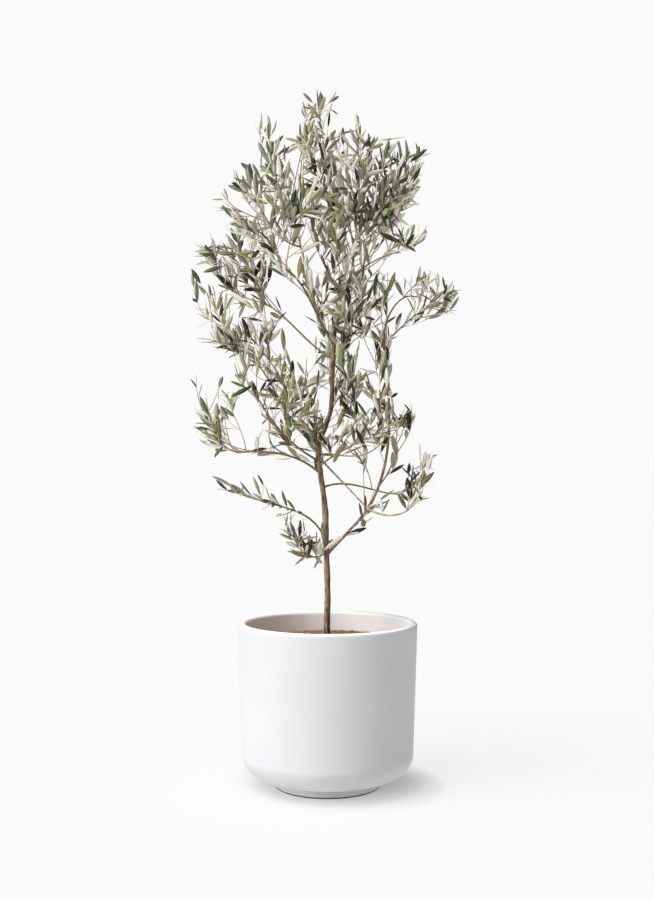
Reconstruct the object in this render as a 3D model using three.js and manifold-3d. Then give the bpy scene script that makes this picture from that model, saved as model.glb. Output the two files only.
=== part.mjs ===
// A young olive tree in a round white pot. Millimetres, +Z up, +X to the right and -Y towards the viewer.
// The origin is the centre of the pot's flat underside.

import * as THREE from "three";
import { mergeVertices } from "three/addons/utils/BufferGeometryUtils.js";
import Module from "manifold-3d";

const wasm = await Module();
wasm.setup();

// The clearance that neighbouring pieces keep
const GAP = 0.3;

// The pot: a slightly tapered wall with a rounded rim and foot corner, on a narrower recessed foot
const POT_HEIGHT = 410;
const RIM_RADIUS = 225;
const CORNER_TOP_RADIUS = 215;
const CORNER_ROUND = 58;
const FOOT_RADIUS = 132;
const FOOT_HEIGHT = 27;
const WALL = 21;
const RIM_ROUND = 9;
const FLOOR_TOP = 56;
const INNER_CORNER_ROUND = 40;
const POT_SIDES = 36;
const CORNER_STEPS = 4;
const RIM_STEPS = 3;

// The soil fills the pot to a little below its rim
const SOIL_DROP = 48;
const SOIL_TOP = POT_HEIGHT - SOIL_DROP;

// The trunk's middle line from the soil to the fork: it leans left, then kinks back to the right
const TRUNK_LINE = [
  [-4, 0, SOIL_TOP + GAP],
  [0, 3, 470],
  [-3, 4, 580],
  [-7, 0, 700],
  [-18, -3, 785],
  [-24, -2, 850],
  [-5, 3, 900],
  [9, 2, 950],
  [13, 0, 1040],
  [18, 0, 1148],
];
const TRUNK_GIRTH = 15.6;
const FORK_GIRTH = 9.2;
const FLARE_GIRTH = 27;
const FLARE_HEIGHT = 34;
const TRUNK_SIDES = 8;
const TRUNK_STEPS = 2;

// Boughs. Each leaves its parent at a share of the parent's length and runs to its tip [x, y, z].
// Leave and arrive are its slopes in degrees above level at its two ends, and girth is its diameter.
const BOUGHS = [
  { name: "leader_right", on: "trunk", at: 1, tip: [65, 25, 1375], leave: 68, arrive: 95, girth: 8.4 },
  { name: "leader_left", on: "trunk", at: 0.96, tip: [-100, -175, 1270], leave: 32, arrive: 12, girth: 6.4 },
  { name: "left_upright", on: "leader_left", at: 0.35, tip: [-100, 110, 1480], leave: 60, arrive: 55, girth: 5.6 },
  { name: "upper_left", on: "left_upright", at: 0.6, tip: [-160, -30, 1430], leave: 0, arrive: 55, girth: 4.4 },
  { name: "left_middle", on: "trunk", at: 0.92, tip: [-170, 150, 1230], leave: 25, arrive: 25, girth: 5.6 },
  { name: "left_long", on: "trunk", at: 0.56, tip: [-185, 35, 1070], leave: 30, arrive: 50, girth: 6 },
  { name: "left_low", on: "trunk", at: 0.49, tip: [-160, -175, 955], leave: 18, arrive: 48, girth: 5.6 },
  { name: "far_left", on: "trunk", at: 0.44, tip: [-220, -120, 835], leave: 38, arrive: -5, girth: 6 },
  { name: "bottom_left", on: "trunk", at: 0.25, tip: [-155, -165, 720], leave: 62, arrive: 15, girth: 5 },
  { name: "bottom_hang", on: "trunk", at: 0.23, tip: [-50, -70, 575], leave: -40, arrive: -10, girth: 4 },
  { name: "right_low", on: "trunk", at: 0.22, tip: [100, 60, 685], leave: 42, arrive: 46, girth: 8.4 },
  { name: "right_upright", on: "right_low", at: 1, tip: [145, 70, 1135], leave: 58, arrive: 94, girth: 7.6 },
  { name: "right_arch", on: "trunk", at: 0.51, tip: [95, -90, 700], leave: -42, arrive: -42, girth: 5.6 },
  { name: "right_arch_end", on: "right_arch", at: 1, tip: [205, -155, 710], leave: -30, arrive: 48, girth: 4.6 },
  { name: "right_cross", on: "trunk", at: 0.39, tip: [195, 140, 725], leave: 18, arrive: 0, girth: 5 },
  { name: "right_fork", on: "trunk", at: 0.47, tip: [75, -120, 860], leave: 26, arrive: 18, girth: 5 },
  { name: "right_under", on: "right_fork", at: 0.43, tip: [135, -225, 870], leave: -5, arrive: 40, girth: 4 },
  { name: "right_side", on: "right_upright", at: 0.16, tip: [180, 150, 865], leave: 22, arrive: 85, girth: 4.6 },
  { name: "tip_high", on: "right_upright", at: 1, tip: [235, 165, 1245], leave: 85, arrive: -10, girth: 4.8 },
  { name: "tip_low", on: "right_upright", at: 0.96, tip: [230, -15, 1185], leave: 30, arrive: 22, girth: 4.4 },
  { name: "right_spray", on: "leader_right", at: 0.58, tip: [155, -125, 1315], leave: 22, arrive: 5, girth: 4.4 },
];
const BOUGH_TAPER = 0.68;
const BOUGH_SIDES = 5;
const BOUGH_STEPS = 5;

// Masses of foliage. Each has one stem, given in the same way, that twigs and leaves branch from.
const MASSES = [
  { name: "top_centre", on: "leader_right", at: 1, tip: [-45, -35, 1660], leave: 60, arrive: 60 },
  { name: "top_right", on: "leader_right", at: 0.94, tip: [215, 120, 1560], leave: 50, arrive: 45 },
  { name: "top_middle", on: "leader_right", at: 0.87, tip: [45, 120, 1620], leave: 60, arrive: 78 },
  { name: "top_front", on: "leader_right", at: 0.8, tip: [80, -130, 1595], leave: 40, arrive: 85 },
  { name: "top_left", on: "left_upright", at: 1, tip: [-160, 130, 1680], leave: 50, arrive: 75 },
  { name: "upper_left_high", on: "upper_left", at: 1, tip: [-195, -90, 1495], leave: 35, arrive: 60 },
  { name: "upper_left_side", on: "leader_left", at: 0.86, tip: [-230, -200, 1390], leave: 45, arrive: 20 },
  { name: "inner_left", on: "leader_left", at: 1, tip: [-80, -240, 1395], leave: 60, arrive: 80 },
  { name: "left_middle_high", on: "left_middle", at: 0.88, tip: [-260, 65, 1370], leave: 48, arrive: 20 },
  { name: "left_middle_low", on: "left_middle", at: 1, tip: [-310, 200, 1315], leave: 5, arrive: 30 },
  { name: "left_low_back", on: "left_long", at: 0.88, tip: [-325, 120, 1185], leave: 50, arrive: 15 },
  { name: "left_low_front", on: "left_long", at: 1, tip: [-285, -55, 1110], leave: 28, arrive: 0 },
  { name: "centre_left_back", on: "left_long", at: 0.25, tip: [-55, 180, 1085], leave: 55, arrive: 65 },
  { name: "centre_left_front", on: "left_long", at: 0.5, tip: [-105, -110, 1105], leave: 55, arrive: 75 },
  { name: "left_reach", on: "left_low", at: 1, tip: [-215, -245, 1020], leave: 40, arrive: 55 },
  { name: "centre_left_low", on: "left_low", at: 0.5, tip: [-95, -235, 965], leave: 40, arrive: 60 },
  { name: "far_left_inner", on: "far_left", at: 0.9, tip: [-248, -50, 985], leave: 80, arrive: 80 },
  { name: "far_left_outer", on: "far_left", at: 1, tip: [-290, -175, 975], leave: 12, arrive: 80 },
  { name: "bottom_left_spray", on: "bottom_left", at: 1, tip: [-225, -205, 755], leave: 18, arrive: 30 },
  { name: "bottom_left_hang", on: "bottom_hang", at: 1, tip: [-105, -130, 680], leave: 40, arrive: 60 },
  { name: "centre_top", on: "leader_right", at: 0.26, tip: [-40, -130, 1360], leave: 45, arrive: 50 },
  { name: "centre_back", on: "leader_right", at: 0.41, tip: [150, 180, 1340], leave: 22, arrive: 40 },
  { name: "right_spray_end", on: "right_spray", at: 1, tip: [195, -175, 1335], leave: 5, arrive: 40 },
  { name: "tip_low_end", on: "tip_low", at: 1, tip: [300, -50, 1228], leave: 20, arrive: 30 },
  { name: "tip_high_end", on: "tip_high", at: 1, tip: [275, 195, 1320], leave: 30, arrive: 80 },
  { name: "centre_right", on: "right_fork", at: 1, tip: [55, -175, 1055], leave: 68, arrive: 84 },
  { name: "centre_right_back", on: "trunk", at: 0.76, tip: [80, 170, 1100], leave: 35, arrive: 75 },
  { name: "right_under_end", on: "right_under", at: 1, tip: [120, -260, 975], leave: 55, arrive: 80 },
  { name: "right_side_end", on: "right_side", at: 1, tip: [205, 190, 950], leave: 78, arrive: 40 },
  { name: "right_low_spray", on: "right_arch_end", at: 1, tip: [225, -180, 750], leave: 35, arrive: 80 },
  { name: "right_low_back", on: "right_cross", at: 1, tip: [225, 160, 800], leave: 38, arrive: 45 },
  { name: "upper_centre", on: "left_upright", at: 0.7, tip: [-60, -10, 1570], leave: 40, arrive: 75 },
  { name: "middle_front", on: "trunk", at: 0.93, tip: [95, -110, 1200], leave: 15, arrive: 60 },
  { name: "middle_back", on: "trunk", at: 0.84, tip: [0, 215, 1230], leave: 30, arrive: 60 },
  { name: "left_inner", on: "left_long", at: 0.72, tip: [-155, -85, 1190], leave: 60, arrive: 60 },
  { name: "right_inner", on: "right_upright", at: 0.62, tip: [155, 20, 1118], leave: 50, arrive: 85 },
];

// How far along its chord a limb keeps each of its end slopes
const HANDLE = 0.36;

// A mass's stem
const STEM_GIRTH = 3.4;
const STEM_TIP_GIRTH = 2;
const STEM_SIDES = 4;
const STEM_STEPS = 4;

// Its twigs leave the stem between two shares of its length, each some radians round from the last.
// They shorten towards the tip, and sway and spread are how far a size or an angle varies.
const TWIG_SPACING = 55;
const FIRST_TWIG = 0.14;
const LAST_TWIG = 0.92;
const TWIG_PLACE_SWAY = 0.8;
const TWIG_TURN = 2.4;
const TWIG_TURN_SWAY = 0.8;
const TWIG_ANGLE = 48;
const TWIG_ANGLE_SWAY = 24;
const TWIG_REACH = 120;
const TWIG_SHORTENING = 0.45;
const TWIG_REACH_SPREAD = 0.4;
const TWIG_LIFT = 0.35;
const TWIG_GIRTH = 2.5;
const TWIG_TIP_GIRTH = 1.9;
const TWIG_SIDES = 3;
const TWIG_STEPS = 2;

// Its leaves, in opposite pairs with one leaf to end each twig
const LEAF_SPACING = 28;
const FIRST_LEAF = 0.34;
const FIRST_STEM_LEAF = 0.45;
const LAST_LEAF = 0.96;
const LEAF_ANGLE = 42;
const END_LEAF_ANGLE = 14;
const LEAF_ANGLE_SWAY = 24;
const LEAF_LENGTH = 60;
const LEAF_LENGTH_SPREAD = 0.28;
const LEAF_SLIMNESS = 4;
const LEAF_WIDEST = 0.45;
const LEAF_THICKNESS = 1.5;
const LEAF_ROOT_HEIGHT = 0.7;
const LEAF_STAGGER = 3.4;

// How much nearer to its own stem than to any other a mass's twigs and leaves stay
const SPACE_MARGIN = 4;

// The crown seen from in front, from this far off and this high: how far it reaches to either side at
// each height, and the openings in it that show sky, each with its lean in degrees
const VIEW_DISTANCE = 3130;
const VIEW_HEIGHT = 841;
const CROWN_REACH = [
  { height: 540, left: -85, right: -20 },
  { height: 600, left: -110, right: 30 },
  { height: 650, left: -130, right: 115 },
  { height: 700, left: -220, right: 260 },
  { height: 750, left: -300, right: 285 },
  { height: 850, left: -305, right: 290 },
  { height: 880, left: -335, right: 230 },
  { height: 950, left: -355, right: 225 },
  { height: 1010, left: -358, right: 172 },
  { height: 1100, left: -290, right: 168 },
  { height: 1130, left: -345, right: 185 },
  { height: 1180, left: -372, right: 335 },
  { height: 1250, left: -358, right: 342 },
  { height: 1300, left: -350, right: 280 },
  { height: 1400, left: -358, right: 260 },
  { height: 1450, left: -312, right: 230 },
  { height: 1500, left: -302, right: 235 },
  { height: 1550, left: -265, right: 250 },
  { height: 1600, left: -205, right: 262 },
  { height: 1650, left: -195, right: 165 },
  { height: 1700, left: -185, right: 100 },
  { height: 1750, left: -65, right: 20 },
];
const SKY = [
  { across: -92, height: 1238, halfWidth: 62, halfHeight: 26, lean: -42 },
  { across: -72, height: 1112, halfWidth: 62, halfHeight: 34, lean: -62 },
  { across: -203, height: 915, halfWidth: 28, halfHeight: 62, lean: 0 },
  { across: -290, height: 1062, halfWidth: 62, halfHeight: 20, lean: -12 },
  { across: -297, height: 1005, halfWidth: 13, halfHeight: 36, lean: 0 },
  { across: -218, height: 1458, halfWidth: 52, halfHeight: 13, lean: -42 },
  { across: -300, height: 1416, halfWidth: 48, halfHeight: 24, lean: 0 },
  { across: -78, height: 1572, halfWidth: 20, halfHeight: 42, lean: 0 },
  { across: -98, height: 1692, halfWidth: 32, halfHeight: 48, lean: 0 },
  { across: 46, height: 1700, halfWidth: 20, halfHeight: 44, lean: 0 },
  { across: -92, height: 1332, halfWidth: 15, halfHeight: 36, lean: 20 },
  { across: -32, height: 1326, halfWidth: 12, halfHeight: 44, lean: 20 },
  { across: 122, height: 1322, halfWidth: 18, halfHeight: 26, lean: 0 },
  { across: 190, height: 1312, halfWidth: 52, halfHeight: 20, lean: 5 },
  { across: 172, height: 1205, halfWidth: 20, halfHeight: 28, lean: -20 },
  { across: 215, height: 1075, halfWidth: 45, halfHeight: 80, lean: 0 },
  { across: 98, height: 1088, halfWidth: 20, halfHeight: 42, lean: 0 },
  { across: 90, height: 965, halfWidth: 16, halfHeight: 26, lean: 0 },
  { across: -8, height: 966, halfWidth: 10, halfHeight: 32, lean: 0 },
  { across: 178, height: 772, halfWidth: 18, halfHeight: 28, lean: -40 },
  { across: 60, height: 775, halfWidth: 62, halfHeight: 40, lean: 0 },
  { across: -150, height: 796, halfWidth: 135, halfHeight: 20, lean: 0 },
  { across: -62, height: 745, halfWidth: 50, halfHeight: 44, lean: 0 },
  { across: -205, height: 660, halfWidth: 80, halfHeight: 30, lean: 0 },
];
const SMALLEST_DETAIL = 0.15;

const UP = new THREE.Vector3(0, 0, 1);

const materials = {
  pot: new THREE.MeshStandardMaterial({ color: 0xe9e8e6, roughness: 0.55, metalness: 0 }),
  soil: new THREE.MeshStandardMaterial({ color: 0x8f6450, roughness: 0.95, metalness: 0 }),
  bark: new THREE.MeshStandardMaterial({ color: 0x84735f, roughness: 0.9, metalness: 0 }),
  foliage: new THREE.MeshStandardMaterial({ color: 0x646c4e, roughness: 0.6, metalness: 0, flatShading: true }),
};

// A seeded run of even random numbers from 0 to 1
function diceFor(seed) {
  let state = seed;
  return () => {
    state = (Math.imul(state, 1664525) + 1013904223) >>> 0;
    return state / 2 ** 32;
  };
}

// A factor near 1 that varies by a spread
function varied(spread, roll) {
  return 1 + spread * (roll() - 0.5);
}

function solidOf(geometry) {
  const bare = geometry.clone();
  bare.deleteAttribute("normal");
  bare.deleteAttribute("uv");
  const merged = mergeVertices(bare);
  return new wasm.Manifold(
    new wasm.Mesh({
      numProp: 3,
      vertProperties: new Float32Array(merged.attributes.position.array),
      triVerts: new Uint32Array(merged.index.array),
    }),
  );
}

// Keeps the largest closed shell, which drops loose scraps and fills sealed hollows
function largestPiece(solid) {
  const pieces = solid.decompose();
  return pieces.reduce((best, piece) => (piece.volume() > best.volume() ? piece : best));
}

function meshOf(name, solid, material) {
  const { vertProperties, triVerts } = solid.getMesh();
  const geometry = new THREE.BufferGeometry();
  geometry.setAttribute("position", new THREE.Float32BufferAttribute(vertProperties, 3));
  geometry.setIndex(new THREE.Uint32BufferAttribute(triVerts, 1));
  geometry.computeVertexNormals();
  const mesh = new THREE.Mesh(geometry, material);
  mesh.name = name;
  return mesh;
}

// A quarter circle of profile points round a centre, from one angle in degrees to another
function roundCorner(x, z, radius, from, to, steps) {
  return Array.from({ length: steps + 1 }, (_, i) => {
    const angle = THREE.MathUtils.degToRad(from + ((to - from) * i) / steps);
    return new THREE.Vector2(x + radius * Math.cos(angle), z + radius * Math.sin(angle));
  });
}

// Turns a profile of (radius, height) points about the upright axis
function turned(profile) {
  return new THREE.LatheGeometry(profile, POT_SIDES).rotateX(Math.PI / 2);
}

// The radius of the pot's inner wall at a height
function innerRadius(z) {
  const share = (z - FLOOR_TOP) / (POT_HEIGHT - FLOOR_TOP);
  return THREE.MathUtils.lerp(CORNER_TOP_RADIUS - WALL, RIM_RADIUS - WALL, share);
}

function potSolid() {
  const profile = [
    new THREE.Vector2(0, 0),
    new THREE.Vector2(FOOT_RADIUS, 0),
    new THREE.Vector2(FOOT_RADIUS, FOOT_HEIGHT),
    ...roundCorner(CORNER_TOP_RADIUS - CORNER_ROUND, FOOT_HEIGHT + CORNER_ROUND, CORNER_ROUND, -90, 0, CORNER_STEPS),
    ...roundCorner(RIM_RADIUS - RIM_ROUND, POT_HEIGHT - RIM_ROUND, RIM_ROUND, 0, 90, RIM_STEPS),
    ...roundCorner(RIM_RADIUS - WALL + RIM_ROUND, POT_HEIGHT - RIM_ROUND, RIM_ROUND, 90, 180, RIM_STEPS),
    ...roundCorner(
      innerRadius(FLOOR_TOP) - INNER_CORNER_ROUND,
      FLOOR_TOP + INNER_CORNER_ROUND,
      INNER_CORNER_ROUND,
      0,
      -90,
      CORNER_STEPS - 2,
    ),
    new THREE.Vector2(0, FLOOR_TOP),
  ];
  return solidOf(turned(profile));
}

function soilSolid() {
  const corner = INNER_CORNER_ROUND;
  const profile = [
    new THREE.Vector2(0, FLOOR_TOP + GAP),
    ...roundCorner(innerRadius(FLOOR_TOP) - corner - GAP, FLOOR_TOP + corner + GAP, corner, -90, 0, CORNER_STEPS - 2),
    new THREE.Vector2(innerRadius(SOIL_TOP) - 2 * GAP, SOIL_TOP),
    new THREE.Vector2(0, SOIL_TOP),
  ];
  return solidOf(turned(profile));
}

// The point at a share of a line of evenly numbered points, with the line's direction there
function along(line, share) {
  const place = share * (line.length - 1);
  const index = Math.min(Math.floor(place), line.length - 2);
  const direction = line[index + 1].clone().sub(line[index]).normalize();
  return { point: line[index].clone().lerp(line[index + 1], place - index), direction };
}

// A limb's middle line: it leaves its start at one slope and reaches its tip at another
function limbLine(start, limb, steps) {
  const tip = new THREE.Vector3(...limb.tip);
  const level = tip.clone().sub(start).setZ(0).normalize();
  const handle = start.distanceTo(tip) * HANDLE;
  const slope = (degrees) => {
    const angle = THREE.MathUtils.degToRad(degrees);
    return level.clone().multiplyScalar(Math.cos(angle)).addScaledVector(UP, Math.sin(angle));
  };
  const curve = new THREE.CubicBezierCurve3(
    start,
    start.clone().addScaledVector(slope(limb.leave), handle),
    tip.clone().addScaledVector(slope(limb.arrive), -handle),
    tip,
  );
  return curve.getPoints(steps);
}

// Two directions square to the given one and to each other
function squareTo(direction) {
  const helper = Math.abs(direction.z) > 0.9 ? new THREE.Vector3(1, 0, 0) : UP;
  const side = helper.clone().cross(direction).normalize();
  return [side, side.clone().cross(direction)];
}

// A closed rod with flat ends, bent along a line of points, with a radius for each point
function bentRod(line, radii, sides) {
  const steps = line.length - 1;
  const rod = new THREE.CylinderGeometry(1, 1, 1, sides, steps);
  const rings = [];
  let [side] = squareTo(along(line, 0).direction);
  line.forEach((point, i) => {
    const before = line[Math.max(i - 1, 0)];
    const after = line[Math.min(i + 1, steps)];
    const direction = after.clone().sub(before).normalize();
    side = side.clone().addScaledVector(direction, -side.dot(direction)).normalize();
    rings.push({ point, side, over: side.clone().cross(direction), radius: radii[i] });
  });
  const position = rod.attributes.position;
  for (let i = 0; i < position.count; i += 1) {
    const ring = rings[Math.round((position.getY(i) + 0.5) * steps)];
    const place = ring.point
      .clone()
      .addScaledVector(ring.side, position.getX(i) * ring.radius)
      .addScaledVector(ring.over, position.getZ(i) * ring.radius);
    position.setXYZ(i, place.x, place.y, place.z);
  }
  return rod;
}

// Even taper from one girth to another, as a radius for each point
function taper(girth, tipGirth, count) {
  return Array.from({ length: count }, (_, i) => THREE.MathUtils.lerp(girth, tipGirth, i / (count - 1)) / 2);
}

// The same limb grown on all sides and past its tip by a gap
function withGap(line, radii, sides, gap) {
  const last = along(line, 1);
  const longer = [...line.slice(0, -1), last.point.addScaledVector(last.direction, gap)];
  return solidOf(bentRod(longer, radii.map((radius) => radius + gap * 1.3), sides));
}

function trunkLine() {
  const points = TRUNK_LINE.map((point) => new THREE.Vector3(...point));
  return new THREE.CatmullRomCurve3(points, false, "catmullrom", 0.5).getPoints((points.length - 1) * TRUNK_STEPS);
}

// The trunk thins evenly to its fork and flares where it meets the soil
function trunkRadii(line) {
  return line.map((point, i) => {
    const girth = THREE.MathUtils.lerp(TRUNK_GIRTH, FORK_GIRTH, (i / (line.length - 1)) ** 1.5);
    const flare = Math.exp(-(point.z - SOIL_TOP) / (FLARE_HEIGHT / 2));
    return (girth + (FLARE_GIRTH - TRUNK_GIRTH) * flare) / 2;
  });
}

// The trunk's foot is cut flat just above the soil
function trunkSolid(line) {
  const rooted = [line[0].clone().addScaledVector(UP, -TRUNK_GIRTH), ...line];
  const radii = trunkRadii(line);
  const below = new THREE.BoxGeometry(8 * FLARE_GIRTH, 8 * FLARE_GIRTH, 2 * TRUNK_GIRTH);
  below.translate(0, 0, SOIL_TOP + GAP - TRUNK_GIRTH);
  return solidOf(bentRod(rooted, [radii[0], ...radii], TRUNK_SIDES)).subtract(solidOf(below));
}

// The distance from a point to the nearest of a line's straight stretches
function distanceTo(line, point) {
  const stretch = new THREE.Line3();
  const nearest = new THREE.Vector3();
  let best = Infinity;
  for (let i = 0; i + 1 < line.length; i += 1) {
    stretch.set(line[i], line[i + 1]).closestPointToPoint(point, true, nearest);
    best = Math.min(best, nearest.distanceTo(point));
  }
  return best;
}

// Where a point is seen from in front: its place across and its height, at the trunk's distance
function seen(point) {
  const closer = VIEW_DISTANCE / (VIEW_DISTANCE + point.y);
  return { across: point.x * closer, height: VIEW_HEIGHT + (point.z - VIEW_HEIGHT) * closer };
}

function inOpening(place, opening) {
  const lean = THREE.MathUtils.degToRad(opening.lean);
  const sideways = place.across - opening.across;
  const upwards = place.height - opening.height;
  const wide = sideways * Math.cos(lean) + upwards * Math.sin(lean);
  const high = upwards * Math.cos(lean) - sideways * Math.sin(lean);
  return (wide / opening.halfWidth) ** 2 + (high / opening.halfHeight) ** 2 < 1;
}

// Whether a point is seen inside the crown's reach and not in open sky
function inCrown(point) {
  const place = seen(point);
  const above = CROWN_REACH.findIndex(({ height }) => height > place.height);
  if (above < 1) {
    return false;
  }
  const [low, high] = [CROWN_REACH[above - 1], CROWN_REACH[above]];
  const share = (place.height - low.height) / (high.height - low.height);
  const left = THREE.MathUtils.lerp(low.left, high.left, share);
  const right = THREE.MathUtils.lerp(low.right, high.right, share);
  return place.across > left && place.across < right && !SKY.some((opening) => inOpening(place, opening));
}

// A leaf of eight faces: a blade with a ridge along its upper side and a deep root
function leafShape(root, direction, face, length) {
  const side = face.clone().cross(direction).normalize();
  const half = length / LEAF_SLIMNESS / 2;
  const place = (forward, sideways, upward) =>
    root
      .clone()
      .addScaledVector(direction, forward)
      .addScaledVector(side, sideways)
      .addScaledVector(face, upward);
  const middle = length * LEAF_WIDEST;
  const points = [
    place(0, 0, LEAF_ROOT_HEIGHT / 2),
    place(0, 0, -LEAF_ROOT_HEIGHT / 2),
    place(middle, half, 0),
    place(middle, -half, 0),
    place(middle, 0, LEAF_THICKNESS),
    place(length, 0, -LEAF_THICKNESS),
  ];
  const faces = [0, 4, 2, 0, 3, 4, 4, 5, 2, 4, 3, 5, 1, 2, 3, 2, 5, 3, 0, 2, 1, 0, 1, 3];
  const geometry = new THREE.BufferGeometry();
  geometry.setAttribute("position", new THREE.Float32BufferAttribute(points.flatMap((p) => p.toArray()), 3));
  geometry.setIndex(faces);
  return { points, geometry };
}

// A leaf that leaves a twig's point at an angle, with its upper side turned towards the twig's tip
function leafAt(point, direction, outward, angle, roll) {
  const spread = THREE.MathUtils.degToRad(angle + (roll() - 0.5) * LEAF_ANGLE_SWAY);
  const heading = direction.clone().multiplyScalar(Math.cos(spread)).addScaledVector(outward, Math.sin(spread));
  const face = direction.clone().addScaledVector(heading, -direction.dot(heading)).normalize();
  return leafShape(point, heading, face, LEAF_LENGTH * varied(LEAF_LENGTH_SPREAD, roll));
}

// Leaves stand in pairs on opposite sides of a twig, each pair a quarter turn on, and one ends it
function leavesOn(line, firstShare, turn, roll) {
  const length = line[0].distanceTo(line[line.length - 1]);
  const pairs = Math.max(1, Math.round((length * (1 - firstShare)) / LEAF_SPACING));
  const leaves = [];
  for (let pair = 0; pair <= pairs; pair += 1) {
    const share = THREE.MathUtils.lerp(firstShare, LAST_LEAF, pair / pairs);
    const { point, direction } = along(line, share);
    const [side, over] = squareTo(direction);
    const angle = turn + (pair * Math.PI) / 2;
    const outward = side.multiplyScalar(Math.cos(angle)).addScaledVector(over, Math.sin(angle));
    if (pair === pairs) {
      leaves.push(leafAt(point, direction, outward, END_LEAF_ANGLE, roll));
    } else {
      leaves.push(leafAt(point, direction, outward, LEAF_ANGLE, roll));
      const opposite = point.clone().addScaledVector(direction, LEAF_STAGGER);
      leaves.push(leafAt(opposite, direction, outward.clone().negate(), LEAF_ANGLE, roll));
    }
  }
  return leaves;
}

// The twigs of a stem, each a line that leaves it a turn on from the last and lifts towards the light
function twigLines(stem, roll) {
  const stemLength = stem[0].distanceTo(stem[stem.length - 1]);
  const count = Math.max(2, Math.round(stemLength / TWIG_SPACING));
  return Array.from({ length: count }, (_, i) => {
    const share = THREE.MathUtils.lerp(FIRST_TWIG, LAST_TWIG, (i + TWIG_PLACE_SWAY * roll()) / count);
    const { point, direction } = along(stem, share);
    const [side, over] = squareTo(direction);
    const turn = i * TWIG_TURN + TWIG_TURN_SWAY * roll();
    const outward = side.multiplyScalar(Math.cos(turn)).addScaledVector(over, Math.sin(turn));
    const spread = THREE.MathUtils.degToRad(TWIG_ANGLE + (roll() - 0.5) * TWIG_ANGLE_SWAY);
    const heading = direction.clone().multiplyScalar(Math.cos(spread)).addScaledVector(outward, Math.sin(spread));
    const reach = TWIG_REACH * (1 - TWIG_SHORTENING * share) * varied(TWIG_REACH_SPREAD, roll);
    const bend = point.clone().addScaledVector(heading, reach / 2);
    const end = point.clone().addScaledVector(heading.addScaledVector(UP, TWIG_LIFT).normalize(), reach);
    return new THREE.QuadraticBezierCurve3(point, bend, end).getPoints(TWIG_STEPS);
  });
}

// A mass: its stem, with twigs and leaves by the seeded rule. What would leave the mass's own space,
// nearer to its stem than to any other, end outside the crown, or touch a limb or a neighbour is skipped.
function massSolid(index, stems, limbs) {
  const roll = diceFor(index + 1);
  const stem = stems[index];
  const others = stems.filter((_, i) => i !== index);
  const inSpace = (points) =>
    points.every((point) => {
      const own = distanceTo(stem, point) + SPACE_MARGIN;
      return others.every((other) => distanceTo(other, point) > own);
    });
  const clearOf = (solid, neighbours) => neighbours.every((other) => solid.intersect(other).isEmpty());

  const stemRod = solidOf(bentRod(stem, taper(STEM_GIRTH, STEM_TIP_GIRTH, stem.length), STEM_SIDES));
  const cutStem = largestPiece(limbs.reduce((solid, limb) => solid.subtract(limb), stemRod));
  const shoots = [{ rod: cutStem, leaves: leavesOn(stem, FIRST_STEM_LEAF, Math.PI * roll(), roll) }];
  for (const line of twigLines(stem, roll)) {
    const leaves = leavesOn(line, FIRST_LEAF, Math.PI * roll(), roll);
    const rod = solidOf(bentRod(line, taper(TWIG_GIRTH, TWIG_TIP_GIRTH, line.length), TWIG_SIDES));
    const twigs = shoots.slice(1).map((shoot) => shoot.rod);
    if (inSpace(line.slice(1)) && inCrown(line.at(-1)) && clearOf(rod, [...limbs, ...twigs])) {
      shoots.push({ rod, leaves });
    }
  }

  const blades = [];
  for (const { rod, leaves } of shoots) {
    const neighbours = [...limbs, ...shoots.map((shoot) => shoot.rod).filter((other) => other !== rod)];
    for (const leaf of leaves.filter(({ points }) => inSpace(points) && inCrown(points.at(-1)))) {
      const blade = solidOf(leaf.geometry);
      if (clearOf(blade, [...neighbours, ...blades])) {
        blades.push(blade);
      }
    }
  }
  const fused = wasm.Manifold.union([...shoots.map((shoot) => shoot.rod), ...blades]);
  return largestPiece(fused.asOriginal().simplify(SMALLEST_DETAIL));
}

function buildTree() {
  const group = new THREE.Group();
  const lines = { trunk: trunkLine() };
  const trunkThickness = trunkRadii(lines.trunk);
  const limbs = [withGap(lines.trunk, trunkThickness, TRUNK_SIDES, GAP)];
  group.add(meshOf("pot", potSolid(), materials.pot));
  group.add(meshOf("soil", soilSolid(), materials.soil));
  group.add(meshOf("trunk", trunkSolid(lines.trunk), materials.bark));
  for (const bough of BOUGHS) {
    const line = limbLine(along(lines[bough.on], bough.at).point, bough, BOUGH_STEPS);
    const radii = taper(bough.girth, bough.girth * BOUGH_TAPER, line.length);
    const whole = solidOf(bentRod(line, radii, BOUGH_SIDES));
    const cut = limbs.reduce((solid, limb) => solid.subtract(limb), whole);
    lines[bough.name] = line;
    limbs.push(withGap(line, radii, BOUGH_SIDES, GAP));
    group.add(meshOf(bough.name, largestPiece(cut), materials.bark));
  }
  const stems = MASSES.map((mass) => limbLine(along(lines[mass.on], mass.at).point, mass, STEM_STEPS));
  MASSES.forEach((mass, index) => {
    group.add(meshOf(mass.name, massSolid(index, stems, limbs), materials.foliage));
  });
  return group;
}

export default buildTree();
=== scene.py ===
import math
from collections import namedtuple

import bpy
import numpy as np
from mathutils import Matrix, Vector, noise


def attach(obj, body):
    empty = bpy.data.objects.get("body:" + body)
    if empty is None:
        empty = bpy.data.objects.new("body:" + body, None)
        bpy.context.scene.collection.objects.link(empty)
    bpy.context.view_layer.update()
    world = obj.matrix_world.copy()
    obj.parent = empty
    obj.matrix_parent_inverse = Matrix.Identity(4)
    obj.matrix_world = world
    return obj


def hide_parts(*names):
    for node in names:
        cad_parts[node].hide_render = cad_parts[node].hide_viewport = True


# The looks of a young olive tree in a round white pot. Lengths are in millimetres, as in the part's
# source, and a mesh is turned into metres when it is built.

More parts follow.
